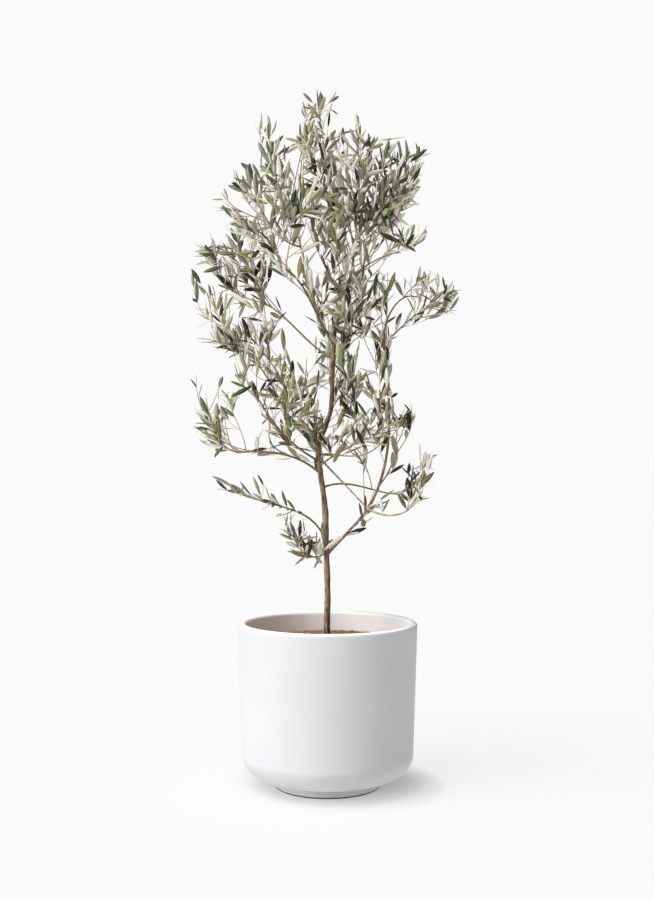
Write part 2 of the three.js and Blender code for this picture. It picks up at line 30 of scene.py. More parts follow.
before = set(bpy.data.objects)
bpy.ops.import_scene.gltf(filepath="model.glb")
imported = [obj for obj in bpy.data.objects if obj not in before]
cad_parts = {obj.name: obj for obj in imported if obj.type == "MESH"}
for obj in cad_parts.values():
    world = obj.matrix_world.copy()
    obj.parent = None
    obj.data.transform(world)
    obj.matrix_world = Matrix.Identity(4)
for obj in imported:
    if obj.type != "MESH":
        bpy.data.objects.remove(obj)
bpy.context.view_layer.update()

METRES = 0.001
UP = Vector((0, 0, 1))
NEARLY_UPRIGHT = 0.9
Limb = namedtuple("Limb", "name on at tip leave arrive girth", defaults=(0,))

# The source's random numbers
DICE_FACTOR = 1664525
DICE_STEP = 1013904223
DICE_RANGE = 2**32

# The pot, as in the source but with finer steps
POT_HEIGHT = 410
RIM_RADIUS = 225
CORNER_TOP_RADIUS = 215
CORNER_ROUND = 58
FOOT_RADIUS = 132
FOOT_HEIGHT = 27
FOOT_ROUND = 4
FOOT_NECK = 1
FOOT_NECK_HEIGHT = 2
WALL = 21
RIM_ROUND = 9
BOWL_FLOOR = 56
INNER_CORNER_ROUND = 40
POT_SIDES = 144
FOOT_STEPS = 6
CORNER_STEPS = 24
WALL_STEPS = 24
RIM_STEPS = 10
INNER_CORNER_STEPS = 12

# The soil: a rough bed, and each size of its clods with its layer of noise and its share of the heave
SOIL_TOP = 362
BED_LEVEL = 359
BED_HEAVE = 2.8
BED_GAP = 1.2
BED_DEPTH = 60
BED_TAPER = 6
BED_RINGS = 34
CLODS = [(34, 0, 0.65), (11, 40, 0.35)]

# Clay granules over the bed, each squashed by a share and a spread of that share along each axis
GRANULE_COUNT = 4080
GRANULE_SIZE = 4
GRANULE_SPREAD = 0.7
GRANULE_SQUASH = [(1, 0.4), (1, 0.4), (0.85, 0.5)]
GRANULE_SUNK = 0.8
GRANULE_ROUGHNESS = 0.32
GRANULE_ROUGH_SCALE = 1.6
GRANULE_STEPS = 4
GRANULE_TURN = 2.39996
GRANULE_SEED = 77

# The trunk's middle line, from the soil to the fork
TRUNK_LINE = [
    (-4, 0, 352),
    (0, 3, 470),
    (-3, 4, 580),
    (-7, 0, 700),
    (-18, -3, 785),
    (-24, -2, 850),
    (-5, 3, 900),
    (9, 2, 950),
    (13, 0, 1040),
    (18, 0, 1148),
]
TRUNK_GIRTH = 15.6
FORK_GIRTH = 9.2
TRUNK_FALL = 1.5
FLARE_GIRTH = 27
FLARE_HEIGHT = 34
TRUNK_SIDES = 36
TRUNK_STEPS = 26

# The boughs, each with the limb it leaves, how far along that is, where its tip is, and the slopes in
# degrees at which it leaves and arrives
BOUGHS = [
    Limb("leader_right", "trunk", 1, (65, 25, 1375), 68, 95, 8.4),
    Limb("leader_left", "trunk", 0.96, (-100, -175, 1270), 32, 12, 6.4),
    Limb("left_upright", "leader_left", 0.35, (-100, 110, 1480), 60, 55, 5.6),
    Limb("upper_left", "left_upright", 0.6, (-160, -30, 1430), 0, 55, 4.4),
    Limb("left_middle", "trunk", 0.92, (-170, 150, 1230), 25, 25, 5.6),
    Limb("left_long", "trunk", 0.56, (-185, 35, 1070), 30, 50, 6),
    Limb("left_low", "trunk", 0.49, (-160, -175, 955), 18, 48, 5.6),
    Limb("far_left", "trunk", 0.44, (-220, -120, 835), 38, -5, 6),
    Limb("bottom_left", "trunk", 0.25, (-155, -165, 720), 62, 15, 5),
    Limb("bottom_hang", "trunk", 0.23, (-50, -70, 575), -40, -10, 4),
    Limb("right_low", "trunk", 0.22, (100, 60, 685), 42, 46, 8.4),
    Limb("right_upright", "right_low", 1, (145, 70, 1135), 58, 94, 7.6),
    Limb("right_arch", "trunk", 0.51, (95, -90, 700), -42, -42, 5.6),
    Limb("right_arch_end", "right_arch", 1, (205, -155, 710), -30, 48, 4.6),
    Limb("right_cross", "trunk", 0.39, (195, 140, 725), 18, 0, 5),
    Limb("right_fork", "trunk", 0.47, (75, -120, 860), 26, 18, 5),
    Limb("right_under", "right_fork", 0.43, (135, -225, 870), -5, 40, 4),
    Limb("right_side", "right_upright", 0.16, (180, 150, 865), 22, 85, 4.6),
    Limb("tip_high", "right_upright", 1, (235, 165, 1245), 85, -10, 4.8),
    Limb("tip_low", "right_upright", 0.96, (230, -15, 1185), 30, 22, 4.4),
    Limb("right_spray", "leader_right", 0.58, (155, -125, 1315), 22, 5, 4.4),
]
BOUGH_TAPER = 0.68
BOUGH_SIDES = 14
BOUGH_STEPS = 40
COLLAR_SWELL = 0.5
COLLAR_LENGTH = 12
HANDLE = 0.36

# The bark's relief: how quickly each kind changes round a limb, its length along it, where in the noise it
# is read, and its share. The trunk's knots have a height, a side that they face and a size.
Relief = namedtuple("Relief", "quickness length shift share")
RIDGES = Relief(1.7, 46, (0, 0), 0.8)
CRACKS = Relief(3.6, 17, (5, 3), 1.1)
LUMPS = Relief(0.8, 24, (9, 0), 0.7)
CRACK_WIDTH = 0.22
TRUNK_RELIEF = 1.25
BOUGH_RELIEF = 0.075
KNOT_HEIGHT = 9
TRUNK_KNOTS = [
    (455, 2.6, 1.3),
    (520, 0.6, 1),
    (612, 4.2, 1.5),
    (684, 1.2, 1.1),
    (768, 3.4, 1.4),
    (905, 5.2, 1.2),
]

# The masses of foliage, each with its stem
MASSES = [
    Limb("top_centre", "leader_right", 1, (-45, -35, 1660), 60, 60),
    Limb("top_right", "leader_right", 0.94, (215, 120, 1560), 50, 45),
    Limb("top_middle", "leader_right", 0.87, (45, 120, 1620), 60, 78),
    Limb("top_front", "leader_right", 0.8, (80, -130, 1595), 40, 85),
    Limb("top_left", "left_upright", 1, (-160, 130, 1680), 50, 75),
    Limb("upper_left_high", "upper_left", 1, (-195, -90, 1495), 35, 60),
    Limb("upper_left_side", "leader_left", 0.86, (-230, -200, 1390), 45, 20),
    Limb("inner_left", "leader_left", 1, (-80, -240, 1395), 60, 80),
    Limb("left_middle_high", "left_middle", 0.88, (-260, 65, 1370), 48, 20),
    Limb("left_middle_low", "left_middle", 1, (-310, 200, 1315), 5, 30),
    Limb("left_low_back", "left_long", 0.88, (-325, 120, 1185), 50, 15),
    Limb("left_low_front", "left_long", 1, (-285, -55, 1110), 28, 0),
    Limb("centre_left_back", "left_long", 0.25, (-55, 180, 1085), 55, 65),
    Limb("centre_left_front", "left_long", 0.5, (-105, -110, 1105), 55, 75),
    Limb("left_reach", "left_low", 1, (-215, -245, 1020), 40, 55),
    Limb("centre_left_low", "left_low", 0.5, (-95, -235, 965), 40, 60),
    Limb("far_left_inner", "far_left", 0.9, (-248, -50, 985), 80, 80),
    Limb("far_left_outer", "far_left", 1, (-290, -175, 975), 12, 80),
    Limb("bottom_left_spray", "bottom_left", 1, (-225, -205, 755), 18, 30),
    Limb("bottom_left_hang", "bottom_hang", 1, (-105, -130, 680), 40, 60),
    Limb("centre_top", "leader_right", 0.26, (-40, -130, 1360), 45, 50),
    Limb("centre_back", "leader_right", 0.41, (150, 180, 1340), 22, 40),
    Limb("right_spray_end", "right_spray", 1, (195, -175, 1335), 5, 40),
    Limb("tip_low_end", "tip_low", 1, (300, -50, 1228), 20, 30),
    Limb("tip_high_end", "tip_high", 1, (275, 195, 1320), 30, 80),
    Limb("centre_right", "right_fork", 1, (55, -175, 1055), 68, 84),
    Limb("centre_right_back", "trunk", 0.76, (80, 170, 1100), 35, 75),
    Limb("right_under_end", "right_under", 1, (120, -260, 975), 55, 80),
    Limb("right_side_end", "right_side", 1, (205, 190, 950), 78, 40),
    Limb("right_low_spray", "right_arch_end", 1, (225, -180, 750), 35, 80),
    Limb("right_low_back", "right_cross", 1, (225, 160, 800), 38, 45),
    Limb("upper_centre", "left_upright", 0.7, (-60, -10, 1570), 40, 75),
    Limb("middle_front", "trunk", 0.93, (95, -110, 1200), 15, 60),
    Limb("middle_back", "trunk", 0.84, (0, 215, 1230), 30, 60),
    Limb("left_inner", "left_long", 0.72, (-155, -85, 1190), 60, 60),
    Limb("right_inner", "right_upright", 0.62, (155, 20, 1118), 50, 85),
]
STEM_GIRTH = 3.4
STEM_TIP_GIRTH = 1.6
STEM_STEPS = 4
SMOOTH_STEPS = 14

# The twigs of a stem, by the source's rule
TWIG_SPACING = 55
FEWEST_TWIGS = 2
FIRST_TWIG = 0.14
LAST_TWIG = 0.92
TWIG_PLACE_SWAY = 0.8
TWIG_TURN = 2.4
TWIG_TURN_SWAY = 0.8
TWIG_ANGLE = 48
TWIG_ANGLE_SWAY = 24
TWIG_REACH = 120
TWIG_SHORTENING = 0.45
TWIG_REACH_SPREAD = 0.4
TWIG_LIFT = 0.35
TWIG_GIRTH = 2.2
TWIG_TIP_GIRTH = 1.2
TWIG_SIDES = 6
SOLID_LEAF_SPACING = 28
SOLID_FIRST_STEM_LEAF = 0.45
SPACE_MARGIN = 4

# Finer twigs, which the source's solid leaves out
SPRIG_SPACING = 42
SPRIG_REACH = 88
SPRIG_LIFT = 0.8
SPRIG_GIRTH = 1.5
SPRIG_TIP_GIRTH = 1
FIRST_SPRIG = 0.2
SPRIG_SEED = 500
CROWDED = 28

# The share of a limb's length from which it bears leafy twigs of its own
LEAFY_FROM = {
    "trunk": 0.5,
    "leader_right": 0.25,
    "leader_left": 0.3,
    "left_upright": 0.3,
    "upper_left": 0.3,
    "left_middle": 0.35,
    "left_long": 0.4,
    "left_low": 0.55,
    "far_left": 0.3,
    "right_fork": 0.2,
    "right_upright": 0.25,
    "tip_high": 0.35,
    "tip_low": 0.35,
}
LIMB_TWIG_SPACING = 50
LIMB_TWIG_REACH = 105
LIMB_TWIG_SEED = 900

# Shoots too slender for the source's boughs, each a stem with twigs of its own
SHOOTS = [
    Limb("high_centre", "leader_right", 0.75, (-50, -60, 1620), 75, 80),
    Limb("high_right", "leader_right", 0.95, (150, 60, 1600), 45, 70),
    Limb("high_right_side", "leader_right", 0.85, (225, 60, 1575), 30, 75),
    Limb("high_right_front", "leader_right", 0.8, (175, -80, 1535), 30, 75),
    Limb("high_right_low", "leader_right", 0.7, (195, 20, 1465), 20, 60),
    Limb("high_right_edge", "leader_right", 0.6, (210, -40, 1400), 15, 50),
    Limb("centre_front", "leader_right", 0.3, (20, -110, 1385), 45, 80),
    Limb("centre_right_high", "leader_right", 0.45, (130, 110, 1405), 35, 80),
    Limb("left_edge_high", "upper_left", 0.8, (-262, -60, 1476), 20, 60),
    Limb("left_high", "upper_left", 0.6, (-190, 40, 1530), 40, 80),
    Limb("left_inner_high", "leader_left", 0.55, (-145, -40, 1345), 50, 80),
    Limb("left_inner_low", "left_middle", 0.7, (-205, 80, 1285), 50, 40),
    Limb("right_inner_high", "right_upright", 0.6, (130, 0, 1250), 100, 85),
    Limb("right_inner_low", "right_upright", 0.5, (85, 50, 1185), 120, 95),
    Limb("mid_right", "trunk", 0.85, (60, -60, 1250), 60, 85),
    Limb("mid_left", "trunk", 0.9, (-15, 80, 1265), 70, 95),
    Limb("fork_left", "trunk", 0.55, (-55, -70, 930), 10, 50),
    Limb("fork_back", "trunk", 0.52, (-30, 110, 925), 10, 60),
    Limb("fork_right", "right_fork", 0.6, (110, -90, 925), 20, 60),
    Limb("fork_right_low", "right_fork", 0.9, (135, -110, 885), 0, 20),
    Limb("left_low_inner", "left_low", 0.3, (-120, -100, 890), 0, 30),
    Limb("far_left_edge", "far_left", 0.85, (-280, -110, 865), -10, 30),
    Limb("low_right", "right_low", 0.8, (105, 20, 705), -20, 40),
    Limb("low_right_end", "right_cross", 0.85, (215, 80, 755), 0, 50),
    Limb("low_hang", "bottom_hang", 0.6, (-85, -60, 600), -20, -30),
    Limb("low_hang_end", "bottom_hang", 0.9, (-50, -60, 583), -40, -50),
    Limb("low_right_hang", "right_low", 0.9, (95, 30, 652), -50, -20),
    Limb("low_right_front", "right_arch_end", 0.8, (212, -120, 725), 10, 60),
    Limb("right_inner_top", "right_upright", 0.85, (150, -20, 1285), 100, 80),
    Limb("left_top_inner", "left_upright", 0.8, (-108, 70, 1580), 80, 95),
    Limb("right_side_top", "right_side", 0.9, (205, 130, 925), 60, 85),
    Limb("right_fork_shoot", "right_cross", 0.62, (92, 100, 850), 85, 95),
    Limb("right_low_upright", "right_low", 0.95, (90, 0, 805), 80, 95),
    Limb("tip_high_shoot", "tip_high", 0.7, (242, 120, 1300), 60, 85),
    Limb("tip_low_shoot", "tip_low", 0.8, (322, -20, 1190), -5, 0),
    Limb("left_edge_low", "far_left", 0.7, (-296, -60, 880), 0, 30),
    Limb("top_centre_left", "left_upright", 0.9, (-66, 60, 1640), 60, 90),
    Limb("left_side_high", "upper_left", 0.75, (-238, 20, 1550), 40, 80),
    Limb("high_right_end", "leader_right", 0.9, (232, 90, 1598), 35, 70),
    Limb("left_edge_top", "left_middle", 0.95, (-322, 20, 1362), 45, 35),
    Limb("left_edge_middle", "left_long", 0.9, (-338, 50, 1205), 40, 30),
    Limb("left_edge_long", "left_long", 0.95, (-322, -60, 1116), 20, -5),
    Limb("left_edge_tip", "far_left", 0.95, (-318, -110, 1022), 30, 95),
    Limb("centre_left_high", "leader_right", 0.6, (-20, -40, 1430), 55, 80),
    Limb("right_side_outer", "right_side", 0.7, (222, 60, 938), 40, 80),
    Limb("fork_front", "right_fork", 0.3, (14, -60, 905), 90, 95),
    Limb("right_inner_foot", "right_upright", 0.52, (104, 0, 1012), 110, 90),
    Limb("bottom_left_low", "bottom_left", 0.6, (-125, -120, 680), -30, -10),
    Limb("mid_left_high", "leader_left", 0.3, (-62, -20, 1325), 60, 80),
    Limb("fork_right_inner", "right_fork", 0.5, (86, 20, 940), 60, 85),
    Limb("right_arch_high", "right_arch_end", 0.85, (232, -20, 812), 40, 85),
    Limb("right_cross_tip", "right_cross", 0.7, (176, -20, 832), 60, 80),
    Limb("far_left_back", "far_left", 1, (-256, -60, 940), 15, 75),
    Limb("bottom_left_end", "bottom_left", 1, (-262, -205, 750), 10, 5),
    Limb("left_edge_inner", "upper_left", 0.75, (-262, 40, 1455), 10, 40),
    Limb("high_centre_right", "leader_right", 0.85, (78, 0, 1665), 70, 90),
    Limb("high_centre_left", "left_upright", 0.95, (-58, 40, 1700), 80, 95),
]
SHOOT_SEED = 300

# The photo's view: how far the camera is from the pot's middle, how far to its right, and how high it is
VIEW_DISTANCE = 3130
VIEW_ACROSS = -1.5
VIEW_HEIGHT = 841

# How far the crown reaches to either side at each height, as the photo's view shows it at the trunk
CROWN_REACH = [
    (540, -85, -20), (600, -110, 30), (650, -130, 110), (680, -180, 125), (700, -225, 258),
    (750, -300, 285), (790, -300, 285), (830, -295, 285), (880, -335, 230), (950, -355, 225),
    (1010, -358, 165), (1100, -290, 168), (1118, -350, 174), (1138, -352, 205), (1152, -318, 250),
    (1180, -325, 335), (1202, -370, 340), (1250, -340, 342), (1300, -345, 280), (1388, -350, 262),
    (1412, -300, 250), (1475, -302, 235), (1500, -285, 238), (1550, -252, 250), (1575, -190, 258),
    (1600, -182, 264), (1622, -185, 215), (1650, -195, 105), (1700, -185, 85), (1750, -65, 20),
]
CROWN_TOP = 1734
CROWN_FRONT = -328
CROWN_BACK = 260

# Where sky shows through the crown: the middle of each opening, half its width and height, and its lean
SKY = [
    (-92, 1238, 62, 26, -42), (-72, 1112, 62, 34, -62), (-205, 915, 32, 64, 0),
    (-290, 1062, 62, 20, -12), (-296, 985, 13, 50, 0), (-218, 1458, 52, 13, -42),
    (-300, 1416, 48, 24, 0), (-80, 1572, 14, 36, 0), (-98, 1692, 32, 48, 0), (46, 1700, 20, 44, 0),
    (-92, 1332, 15, 36, 20), (-32, 1326, 12, 44, 20), (122, 1322, 18, 26, 0), (190, 1312, 52, 20, 5),
    (172, 1205, 20, 28, -20), (215, 1075, 45, 80, 0), (98, 1088, 20, 42, 0), (90, 965, 16, 26, 0),
    (-8, 966, 10, 32, 0), (178, 772, 18, 28, -40), (45, 775, 45, 38, 0), (95, 765, 26, 24, 0),
    (-172, 801, 158, 17, 0), (124, 1012, 20, 14, 0), (40, 690, 28, 34, 0), (-62, 745, 50, 44, 0),
    (-205, 660, 80, 30, 0), (14, 655, 20, 20, 0), (252, 1335, 26, 34, -20), (208, 1426, 26, 12, 20),
    (-228, 864, 24, 16, 0), (118, 822, 18, 20, 0), (215, 842, 24, 12, 0), (-132, 754, 26, 18, 0),
    (138, 785, 14, 42, 0), (0, 742, 14, 72, 0),
]

# Where the photo's foliage is dense, and where it is sparse, as ovals like those of the sky
DENSE = [
    (-55, 1690, 20, 26, 0), (-62, 1618, 30, 24, 0), (-155, 1655, 18, 40, 10), (30, 1622, 18, 22, 0),
    (150, 1600, 34, 22, 0), (225, 1592, 24, 18, 0), (-265, 1478, 24, 22, 0), (-218, 1400, 26, 34, 0),
    (-305, 1325, 20, 22, 0), (-66, 1312, 26, 42, 0), (-205, 1235, 34, 32, 0), (248, 1235, 22, 60, -10),
    (30, 895, 40, 34, 0), (88, 928, 26, 20, 0), (82, 858, 44, 24, 0), (202, 918, 22, 42, -15),
    (175, 822, 18, 28, 0), (86, 800, 14, 22, 0), (-132, 876, 36, 16, 0), (104, 1030, 26, 50, 0),
    (-30, 606, 26, 32, 0), (212, 732, 34, 32, 0), (-130, 1412, 24, 26, 0), (-14, 1428, 32, 44, 0),
    (-95, 925, 60, 30, 0), (-235, 1290, 18, 30, 0), (-240, 1210, 22, 24, 0), (-120, 1135, 18, 30, 20),
    (-128, 1272, 30, 14, 0), (-5, 845, 30, 24, 0), (138, 710, 18, 22, 0), (85, 655, 16, 24, 0),
    (-320, 870, 20, 24, 0),
]
SPARSE = [
    (-168, 1510, 28, 36, 0), (66, 1490, 14, 20, 0), (-68, 1385, 50, 24, 0), (-300, 1250, 34, 36, 0),
    (-250, 1165, 60, 34, 30), (-135, 1195, 30, 30, -20), (-290, 1365, 40, 22, 0),
    (-325, 1195, 26, 30, 0), (-272, 978, 16, 24, 0), (210, 800, 30, 34, 0), (200, 868, 40, 14, 15),
    (70, 1590, 44, 24, 0), (-130, 1092, 30, 22, 0), (-205, 1015, 56, 34, 0), (-72, 1524, 18, 30, 0),
    (-110, 1626, 20, 20, 0), (-165, 1435, 40, 22, 20), (-192, 1350, 24, 26, 0), (140, 1370, 22, 20, 0),
    (140, 1285, 34, 26, 0), (174, 955, 20, 24, 0), (-145, 848, 20, 18, 0), (-236, 862, 34, 34, 0),
    (-32, 672, 26, 36, 0), (15, 1650, 50, 22, 0), (180, 1602, 26, 18, 0), (-235, 1515, 20, 34, 0),
    (-278, 1012, 18, 34, 0), (-222, 850, 40, 22, 0), (30, 1522, 30, 26, 0), (215, 1185, 50, 26, 0),
    (268, 1290, 24, 24, 0), (70, 1480, 16, 26, 0), (135, 765, 20, 60, -30), (165, 700, 20, 26, 0),
    (250, 732, 20, 20, 0), (-330, 985, 34, 40, 0), (-60, 1038, 40, 22, 0), (-18, 1160, 26, 60, 15),
    (130, 1160, 44, 34, 0), (235, 1160, 40, 18, 15), (40, 625, 40, 26, 30), (156, 1040, 16, 40, 0),
    (-104, 690, 22, 34, 20), (-56, 664, 26, 22, 0), (110, 722, 16, 22, 0), (90, 1300, 34, 40, 0),
    (210, 1405, 34, 16, 0), (-40, 1662, 26, 22, 0), (-210, 1060, 24, 20, 0), (-250, 1505, 24, 16, 0),
    (-258, 1325, 14, 30, 0), (-285, 1105, 30, 14, 0), (0, 1634, 26, 18, 0), (30, 845, 18, 20, 0),
    (75, 1530, 14, 58, 0), (35, 1375, 28, 24, 0), (-125, 1000, 18, 20, 0), (65, 635, 22, 14, 0),
    (-145, 1232, 22, 16, 0),
]
SPARSE_SKIPPED = 0.65

# Where the view shows the trunk itself: foliage in front of it leaves that stretch open
TRUNK_SHOWN = (10, 1000, 12, 130, 0)

# Where a lone spray has its leaves on the limb itself and no twigs
LONE_SPRAY = (-215, 735, 115, 62, -24)

# Limbs that bear leaves themselves, from a share of their length on
LEAF_BEARING = [
    ("bottom_left", 0.42),
    ("bottom_hang", 0.3),
    ("right_arch_end", 0.5),
    ("bottom_left", 0.36),
    ("bottom_left", 0.48),
]
LEAF_BEARING_SEED = 899

# Twigs that fill what the rule leaves thin, looked for at steps over the crown's view
FILL_STEP = 17
FILL_CLEARANCE = 14
DENSE_CLEARANCE = 6.5
FILL_SWAY = 12
FILL_REACH = 130
FILL_SEED = 1200
FILL_BEND = 0.12
FILL_SAG = 0.6
FILL_LEAFY = 75
WOOD_STEP = 3
FEWEST_LEAVES = 2
FEWEST_STEPS = 2

# Leaves, in opposite pairs with one leaf to end each twig
LEAF_SPACING = 24
FIRST_LEAF = 0.12
FIRST_STEM_LEAF = 0.3
LAST_LEAF = 0.97
LEAF_ANGLE = 38
END_LEAF_ANGLE = 12
LEAF_ANGLE_SWAY = 34
LEAF_TILT_SWAY = 1.2
LEAF_TO_LIGHT = 0.4
LEAF_LENGTH = 51
LEAF_LENGTH_SPREAD = 0.5
LEAF_SLIMNESS = 4.8
LEAF_THICKNESS = 0.5
LEAF_FOLD = 0.16
LEAF_DROOP = 0.12
LEAF_RISE = 0.3
SKIPPED_LEAF = 0.1
# Shares of a leaf's length, and its half width there as a share of the widest
LEAF_OUTLINE = [(0.07, 0.11), (0.2, 0.58), (0.4, 0.95), (0.6, 1), (0.8, 0.74), (0.94, 0.33)]
# The place of a point near the leaf's middle among its points
LEAF_MIDDLE = 10

# The usual curve of displays: straight for dark values, and a power above them
BRIGHTEST = 255
CURVE_START = 0.04045
CURVE_SLOPE = 12.92
CURVE_OFFSET = 0.055
CURVE_POWER = 2.4

# Each tone of leaf with the display colours of its upper side and underside, the sides' roughness and
# sheen, and the running share of the sprays that have each tone, in the crown and in its places of painted
# light and painted shade
LEAF_TINTS = {
    "deep": ((34, 40, 18), (145, 144, 116)),
    "grey": ((94, 102, 71), (224, 221, 204)),
    "olive": ((142, 138, 96), (233, 229, 212)),
    "young": ((97, 116, 60), (175, 181, 134)),
}
LEAF_SKINS = [("upper", 0.42, 0.04), ("under", 0.7, 0.15)]
LEAF_GRAIN = 700
LEAF_BUMP = 0.12
LEAF_SHINE = 0.32
TONE_SHARES = [0.35, 0.63, 0.97, 1]
PAINTED_LIGHT_SHARES = [0.08, 0.52, 0.97, 1]
PAINTED_SHADE_SHARES = [0.6, 0.76, 0.97, 1]
# Places of painted light, where the crown's lower left has paler sprays, and of painted shade, where its
# right has deeper ones
PAINTED_LIGHT_SPRAYS = [(-300, 860, 130, 210, 0)]
PAINTED_SHADE_SPRAYS = [(170, 905, 120, 160, 0), (205, 1480, 60, 95, 0)]

# Matte finishes: two display colours that mottle each other, how small their patches are, how much they are
# speckled, and the grain's fineness, depth and roughness
Finish = namedtuple("Finish", "light dark patches speckle grain depth roughness")
FINISHES = {
    "white_glaze": Finish((199, 199, 201), (195, 194, 197), 7, 0.25, 420, 0.1, 0.55),
    # The inner glaze is the white glaze made brighter: painted light on the inner wall and a painted
    # highlight on the rim's top
    "inner_glaze_painted_light": Finish((250, 249, 249), (245, 244, 244), 9, 0.25, 420, 0.1, 0.5),
    # A dark band on the foot's underside and lower round, painted as the contact shadow where the pot meets
    # the floor
    "foot_painted_shadow": Finish((56, 47, 46), (47, 39, 38), 40, 0.4, 420, 0.3, 0.9),
    "clay_bed": Finish((138, 97, 77), (99, 68, 55), 60, 0.5, 260, 0.6, 0.9),
    "clay_granules": Finish((189, 138, 112), (144, 99, 79), 70, 0.5, 380, 0.5, 0.88),
}
FINISH_SHINE = 0.28
ROUGHNESS_SPREAD = 0.07

# Barks: the display colours of the side with painted light, of the side with painted shade and of the
# furrows, and how far the grain is drawn out along the upright axis
Bark = namedtuple("Bark", "sunny shady furrow stretch")
BARKS = {
    "bark": Bark((199, 175, 145), (86, 65, 45), (79, 60, 43), 6),
    "bough_bark": Bark((208, 186, 158), (108, 84, 60), (99, 77, 55), 1.4),
    "young_bark": Bark((218, 203, 181), (162, 138, 110), (138, 114, 88), 1.4),
}
# The patches of painted light and of painted shade on the bark, and how far each is mottled towards the
# other
PAINTED_LIT_PATCHES = 26
PAINTED_LIT_MOTTLE = 0.45
PAINTED_SHADE_PATCHES = 34
PAINTED_SHADE_MOTTLE = 0.8
BARK_SPECKLE = 0.9
BARK_GRAIN = 230
BARK_ROUGHNESS = 0.85
BARK_SHINE = 0.24
# The way that the side with painted light faces, and how squarely a place faces it where the painted light
# starts and is full
PAINTED_LIGHT_SIDE = (-0.78, -0.3, 0.55)
PAINTED_LIGHT_FACING = (-0.35, 0.85)
# The heights in metres between which the painted light fades, and the share of it that is left above
PAINTED_LIGHT_FADE = (0.68, 0.95)
PAINTED_LIGHT_LEFT = 0.45
# The grain's heights at which a furrow has its full colour and ends
FURROWED = (0.38, 0.52)

# The mottle's detail, the fineness of its specks and the noise values between which its colours change, and
# the grain's detail and height in metres
PATCH_DETAIL = 4
SPECK_FINENESS = 900
PATCHED = (0.34, 0.66)
GRAIN_DETAIL = 6
GRAIN_HEIGHT = 0.002

# The floor, in metres: one wide triangle that reaches the horizon, lit mostly from within so that it is as
# pale as the surround, and a little more for what stands on it. That light is shaded beside the pot, on the
# side away from the lamps.
FLOOR_REACH = 800
FLOOR_COLOUR = (0.092, 0.092, 0.092, 1)
FLOOR_GLOW = 0.828
FLOOR_BOUNCE = 1.08
SHADE_TOWARDS = {"X": -0.72, "Y": -0.7, "Z": 0.27}
SHADE_REACH = 0.11
SHADE_SAMPLES = 8

# The studio's light, its surround as the camera sees it and as it lights the tree, and the camera's lens
Lamp = namedtuple("Lamp", "name towards energy breadth")
LAMPS = [
    Lamp("overhead", (-0.42, -0.3, 1), 3.7, 35),
    Lamp("window_side", (-1, -0.62, 0.35), 1.43, 30),
]
WHITE = (1, 1, 1, 1)
SURROUND = (0.956, 0.956, 0.956, 1)
SURROUND_LIGHT = 0.24
LENS = 49.84
SENSOR = 36



def dice(seed):
    """A seeded run of even random numbers from 0 to 1, the same as the source's."""
    state = seed

    def roll():
        nonlocal state
        state = (state * DICE_FACTOR + DICE_STEP) % DICE_RANGE
        return state / DICE_RANGE

    return roll


def varied(spread, roll):
    """A factor near 1 that varies by a spread."""
    return 1 + spread * (roll() - 0.5)


def mix(start, end, share):
    return start + (end - start) * share


def spaced(start, end, count):
    return [mix(start, end, index / (count - 1)) for index in range(count)]


# Lines


def along(line, share):
    """The point at a share of a line's steps, and the line's direction there."""
    place = share * (len(line) - 1)
    index = min(int(place), len(line) - 2)
    direction = (line[index + 1] - line[index]).normalized()
    return line[index].lerp(line[index + 1], place - index), direction


def limb_line(start, limb, steps):
    """A limb's middle line: it leaves its start at one slope and reaches its tip at another."""
    tip = Vector(limb.tip)
    level = tip - start
    handle = level.length * HANDLE
    level.z = 0
    level.normalize()

    def slope(degrees):
        angle = math.radians(degrees)
        return level * math.cos(angle) + UP * math.sin(angle)

    leaving = start + slope(limb.leave) * handle
    arriving = tip - slope(limb.arrive) * handle
    points = []
    for step in range(steps + 1):
        share = step / steps
        rest = 1 - share
        outer = start * rest**3 + tip * share**3
        points.append(outer + leaving * (3 * share * rest**2) + arriving * (3 * share**2 * rest))
    return points


def quadratic(start, bend, end, steps):
    """A curve from a start to an end that leans towards a bend."""
    shares = [step / steps for step in range(steps + 1)]
    return [start * (1 - t) ** 2 + bend * (2 * t * (1 - t)) + end * t**2 for t in shares]


def trunk_line():
    """A smooth line through the trunk's points."""
    points = [Vector(point) for point in TRUNK_LINE]
    points = [points[0] * 2 - points[1], *points, points[-1] * 2 - points[-2]]
    line = []
    for before, start, end, after in zip(points, points[1:], points[2:], points[3:]):
        leaving = (end - before) / 2
        arriving = (after - start) / 2
        for step in range(TRUNK_STEPS):
            share = step / TRUNK_STEPS
            eased = share**2 * (3 - 2 * share)
            bend = leaving * (share * (1 - share) ** 2) - arriving * (share**2 * (1 - share))
            line.append(start.lerp(end, eased) + bend)
    line.append(points[-2])
    return line


def limb_lines():
    """The middle lines of the trunk and of every bough, by their names."""
    lines = {"trunk": trunk_line()}
    for bough in BOUGHS:
        lines[bough.name] = limb_line(along(lines[bough.on], bough.at)[0], bough, BOUGH_STEPS)
    return lines


def square_to(direction):
    """Two directions square to the given one and to each other."""
    helper = Vector((1, 0, 0)) if abs(direction.z) > NEARLY_UPRIGHT else UP
    side = helper.cross(direction).normalized()
    return side, side.cross(direction)


def frames_of(line):
    """For each point of a line its direction and a side that turns with it as little as it can."""
    ends = [*line[1:], line[-1] * 2 - line[-2]]
    directions = [(end - point).normalized() for point, end in zip(line, ends)]
    side = square_to(directions[0])[0]
    frames = []
    for direction in directions:
        side = (side - direction * side.dot(direction)).normalized()
        frames.append((direction, side))
    return frames


# Meshes


